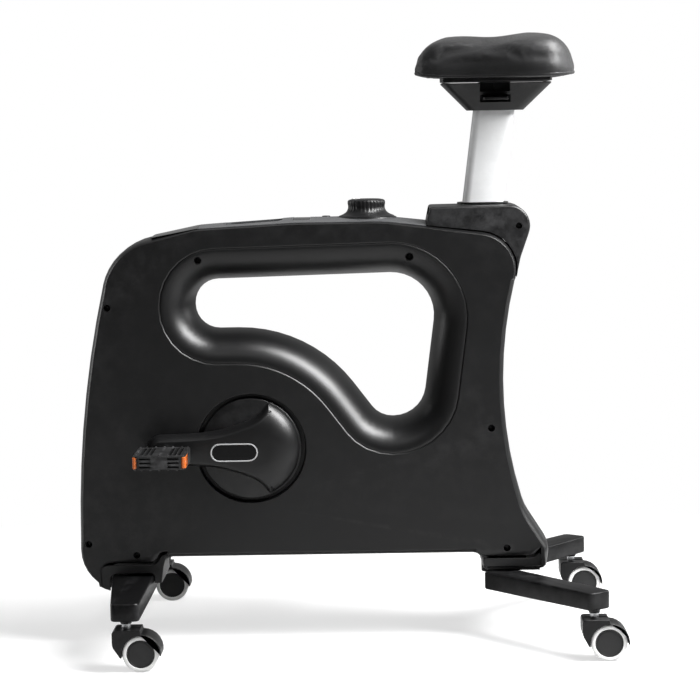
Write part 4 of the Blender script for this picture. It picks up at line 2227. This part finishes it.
# %% Hoods and wheels
def hood(tag, swivel, side, axle):
    x, y = swivel[0], side * swivel[1]
    name, body = f"caster_hood_{tag}", f"hood_{tag}"
    shape = slab(hood_profile(axle, x, True), y - HOOD_HALF_WIDTH, y + HOOD_HALF_WIDTH, "Y")
    made = piece(f"fender_{tag}", shape, body, HOOD_BLACK, [name])
    soften(made, 0.0013, 3, 50)
    shape = slab(hood_profile(axle, x, False), y - HOOD_WEB_HALF, y + HOOD_WEB_HALF, "Y")
    soften(piece(f"web_{tag}", shape, body, HOOD_BLACK, [name]), 0.0006, 2, 40)
    neck = (
        (0.0, HOOD_TOP - 0.002),
        (0.0066, HOOD_TOP - 0.002),
        (0.0066, STEM_TOP - 0.016),
        (STEM_RADIUS, STEM_TOP - 0.0155),
    )
    stem = (*neck, (STEM_RADIUS, STEM_TOP - 0.001), (STEM_RADIUS - 0.001, STEM_TOP), (0.0, STEM_TOP))
    smooth(piece(f"stem_{tag}", lathe(stem, (x, y, 0), (0, 0, 1), 40), body, ZINC, [name]), 35)
    cup = (
        (0.0070, HOOD_TOP + 0.0072),
        (0.0080, HOOD_TOP + 0.0068),
        (0.0086, HOOD_TOP + 0.0078),
        (NECK_RADIUS, LEG_BOTTOM - 0.0010),
        (NECK_RADIUS, LEG_BOTTOM - 0.0003),
        (0.0070, LEG_BOTTOM - 0.0003),
    )
    smooth(
        piece(f"cup_{tag}", lathe(cup, (x, y, 0), (0, 0, 1), 40), body, CAP_BLACK, [name]), 35
    )
    rod = y_bar(axle, AXLE_RADIUS, y - AXLE_HALF, y + AXLE_HALF, 32)
    soften(piece(f"wheel_axle_{tag}", rod, body, ZINC, [name]), 0.0005, 2)


TREAD_PROFILE = (
    (WHEEL_DISC_RADIUS, 0.0),
    (WHEEL_RADIUS - 0.0020, 0.0),
    (WHEEL_RADIUS - 0.0006, 0.0005),
    (WHEEL_RADIUS, 0.0018),
    (WHEEL_RADIUS, 0.0130),
    (WHEEL_RADIUS - 0.0004, 0.0146),
    (WHEEL_RADIUS - 0.0014, 0.0156),
    (WHEEL_RADIUS - 0.0026, 0.0160),
    (WHEEL_DISC_RADIUS + 0.0004, 0.0158),
    (WHEEL_DISC_RADIUS, 0.0154),
)
DISC_PROFILE = (
    (AXLE_RADIUS + 0.0003, 0.0004),
    (WHEEL_DISC_RADIUS - 0.0001, 0.0004),
    (WHEEL_DISC_RADIUS - 0.0001, 0.0146),
    (WHEEL_DISC_RADIUS - 0.0010, 0.0150),
    (WHEEL_DISC_RADIUS - 0.0022, 0.0149),
    (WHEEL_DISC_RADIUS - 0.0026, 0.0144),
    (WHEEL_DISC_RADIUS - 0.0032, 0.0144),
    (WHEEL_DISC_RADIUS - 0.0038, 0.0148),
    (0.0, 0.0150),
    (0.0, WHEEL_BORE_DEPTH),
    (AXLE_RADIUS + 0.0003, WHEEL_BORE_DEPTH),
)


def wheel(tag, place, way, centre):
    name, body = f"caster_wheel_{tag}_{place}", f"wheel_{tag}_{place}"
    axis = (0, way, 0)
    tread = piece(
        f"tread_{tag}_{place}",
        lathe(TREAD_PROFILE, centre, axis, 96),
        body,
        TREAD_WHITE,
        [name],
    )
    smooth(tread, 30)
    disc = piece(
        f"disc_{tag}_{place}", lathe(DISC_PROFILE, centre, axis, 96), body, DISC_GREY, [name]
    )
    smooth(disc, 30)


for end, swivel, trail in (("front", FRONT_SWIVEL, FRONT_TRAIL), ("rear", REAR_SWIVEL, REAR_TRAIL)):
    for side in (-1, 1):
        tag = side_name(end, side)
        axle = (swivel[0] + trail, WHEEL_RADIUS)
        hood(tag, swivel, side, axle)
        for place, way in (("inner", -side), ("outer", side)):
            wheel(tag, place, way, (axle[0], side * swivel[1] + way * WHEEL_INNER, axle[1]))
print("casters made")

# %% [markdown]
# ## Parts that stay as they are
#
# Some CAD nodes are inside the body or simple turned and bent steel. They keep their shape and get materials.

# %% Materials of the CAD parts
CAD_MATERIALS = {
    "main_frame": POWDER_COAT,
    "flywheel": CAST_IRON,
    "flywheel_axle": ZINC,
    "drive_pulley": CAP_BLACK,
    "drive_belt": BELT_RUBBER,
    "brake_cable": BELT_RUBBER,
    "crank_spindle": ZINC,
    "crank_bearing_left": ZINC,
    "crank_bearing_right": ZINC,
    "crank_arm_left": POWDER_COAT,
    "crank_arm_right": POWDER_COAT,
    "pedal_spindle_left": ZINC,
    "pedal_spindle_right": ZINC,
    "gas_cylinder": POWDER_COAT,
    "gas_rod": ZINC,
    "magnet_bracket": ZINC,
    "seat_clamp": BLACK_OXIDE,
    "clamp_bolt": BLACK_OXIDE,
}
for name, material in CAD_MATERIALS.items():
    node = bpy.data.objects[name]
    for part_slot in node.material_slots:
        part_slot.material = material

# %% [markdown]
# ## Hand over
#
# The visual model has to stay inside the CAD model's box.

# %% Finish
for name, made in EVERY_PIECE.items():
    if not made.data.materials or made.data.materials[0] is None:
        print("no material on", name)
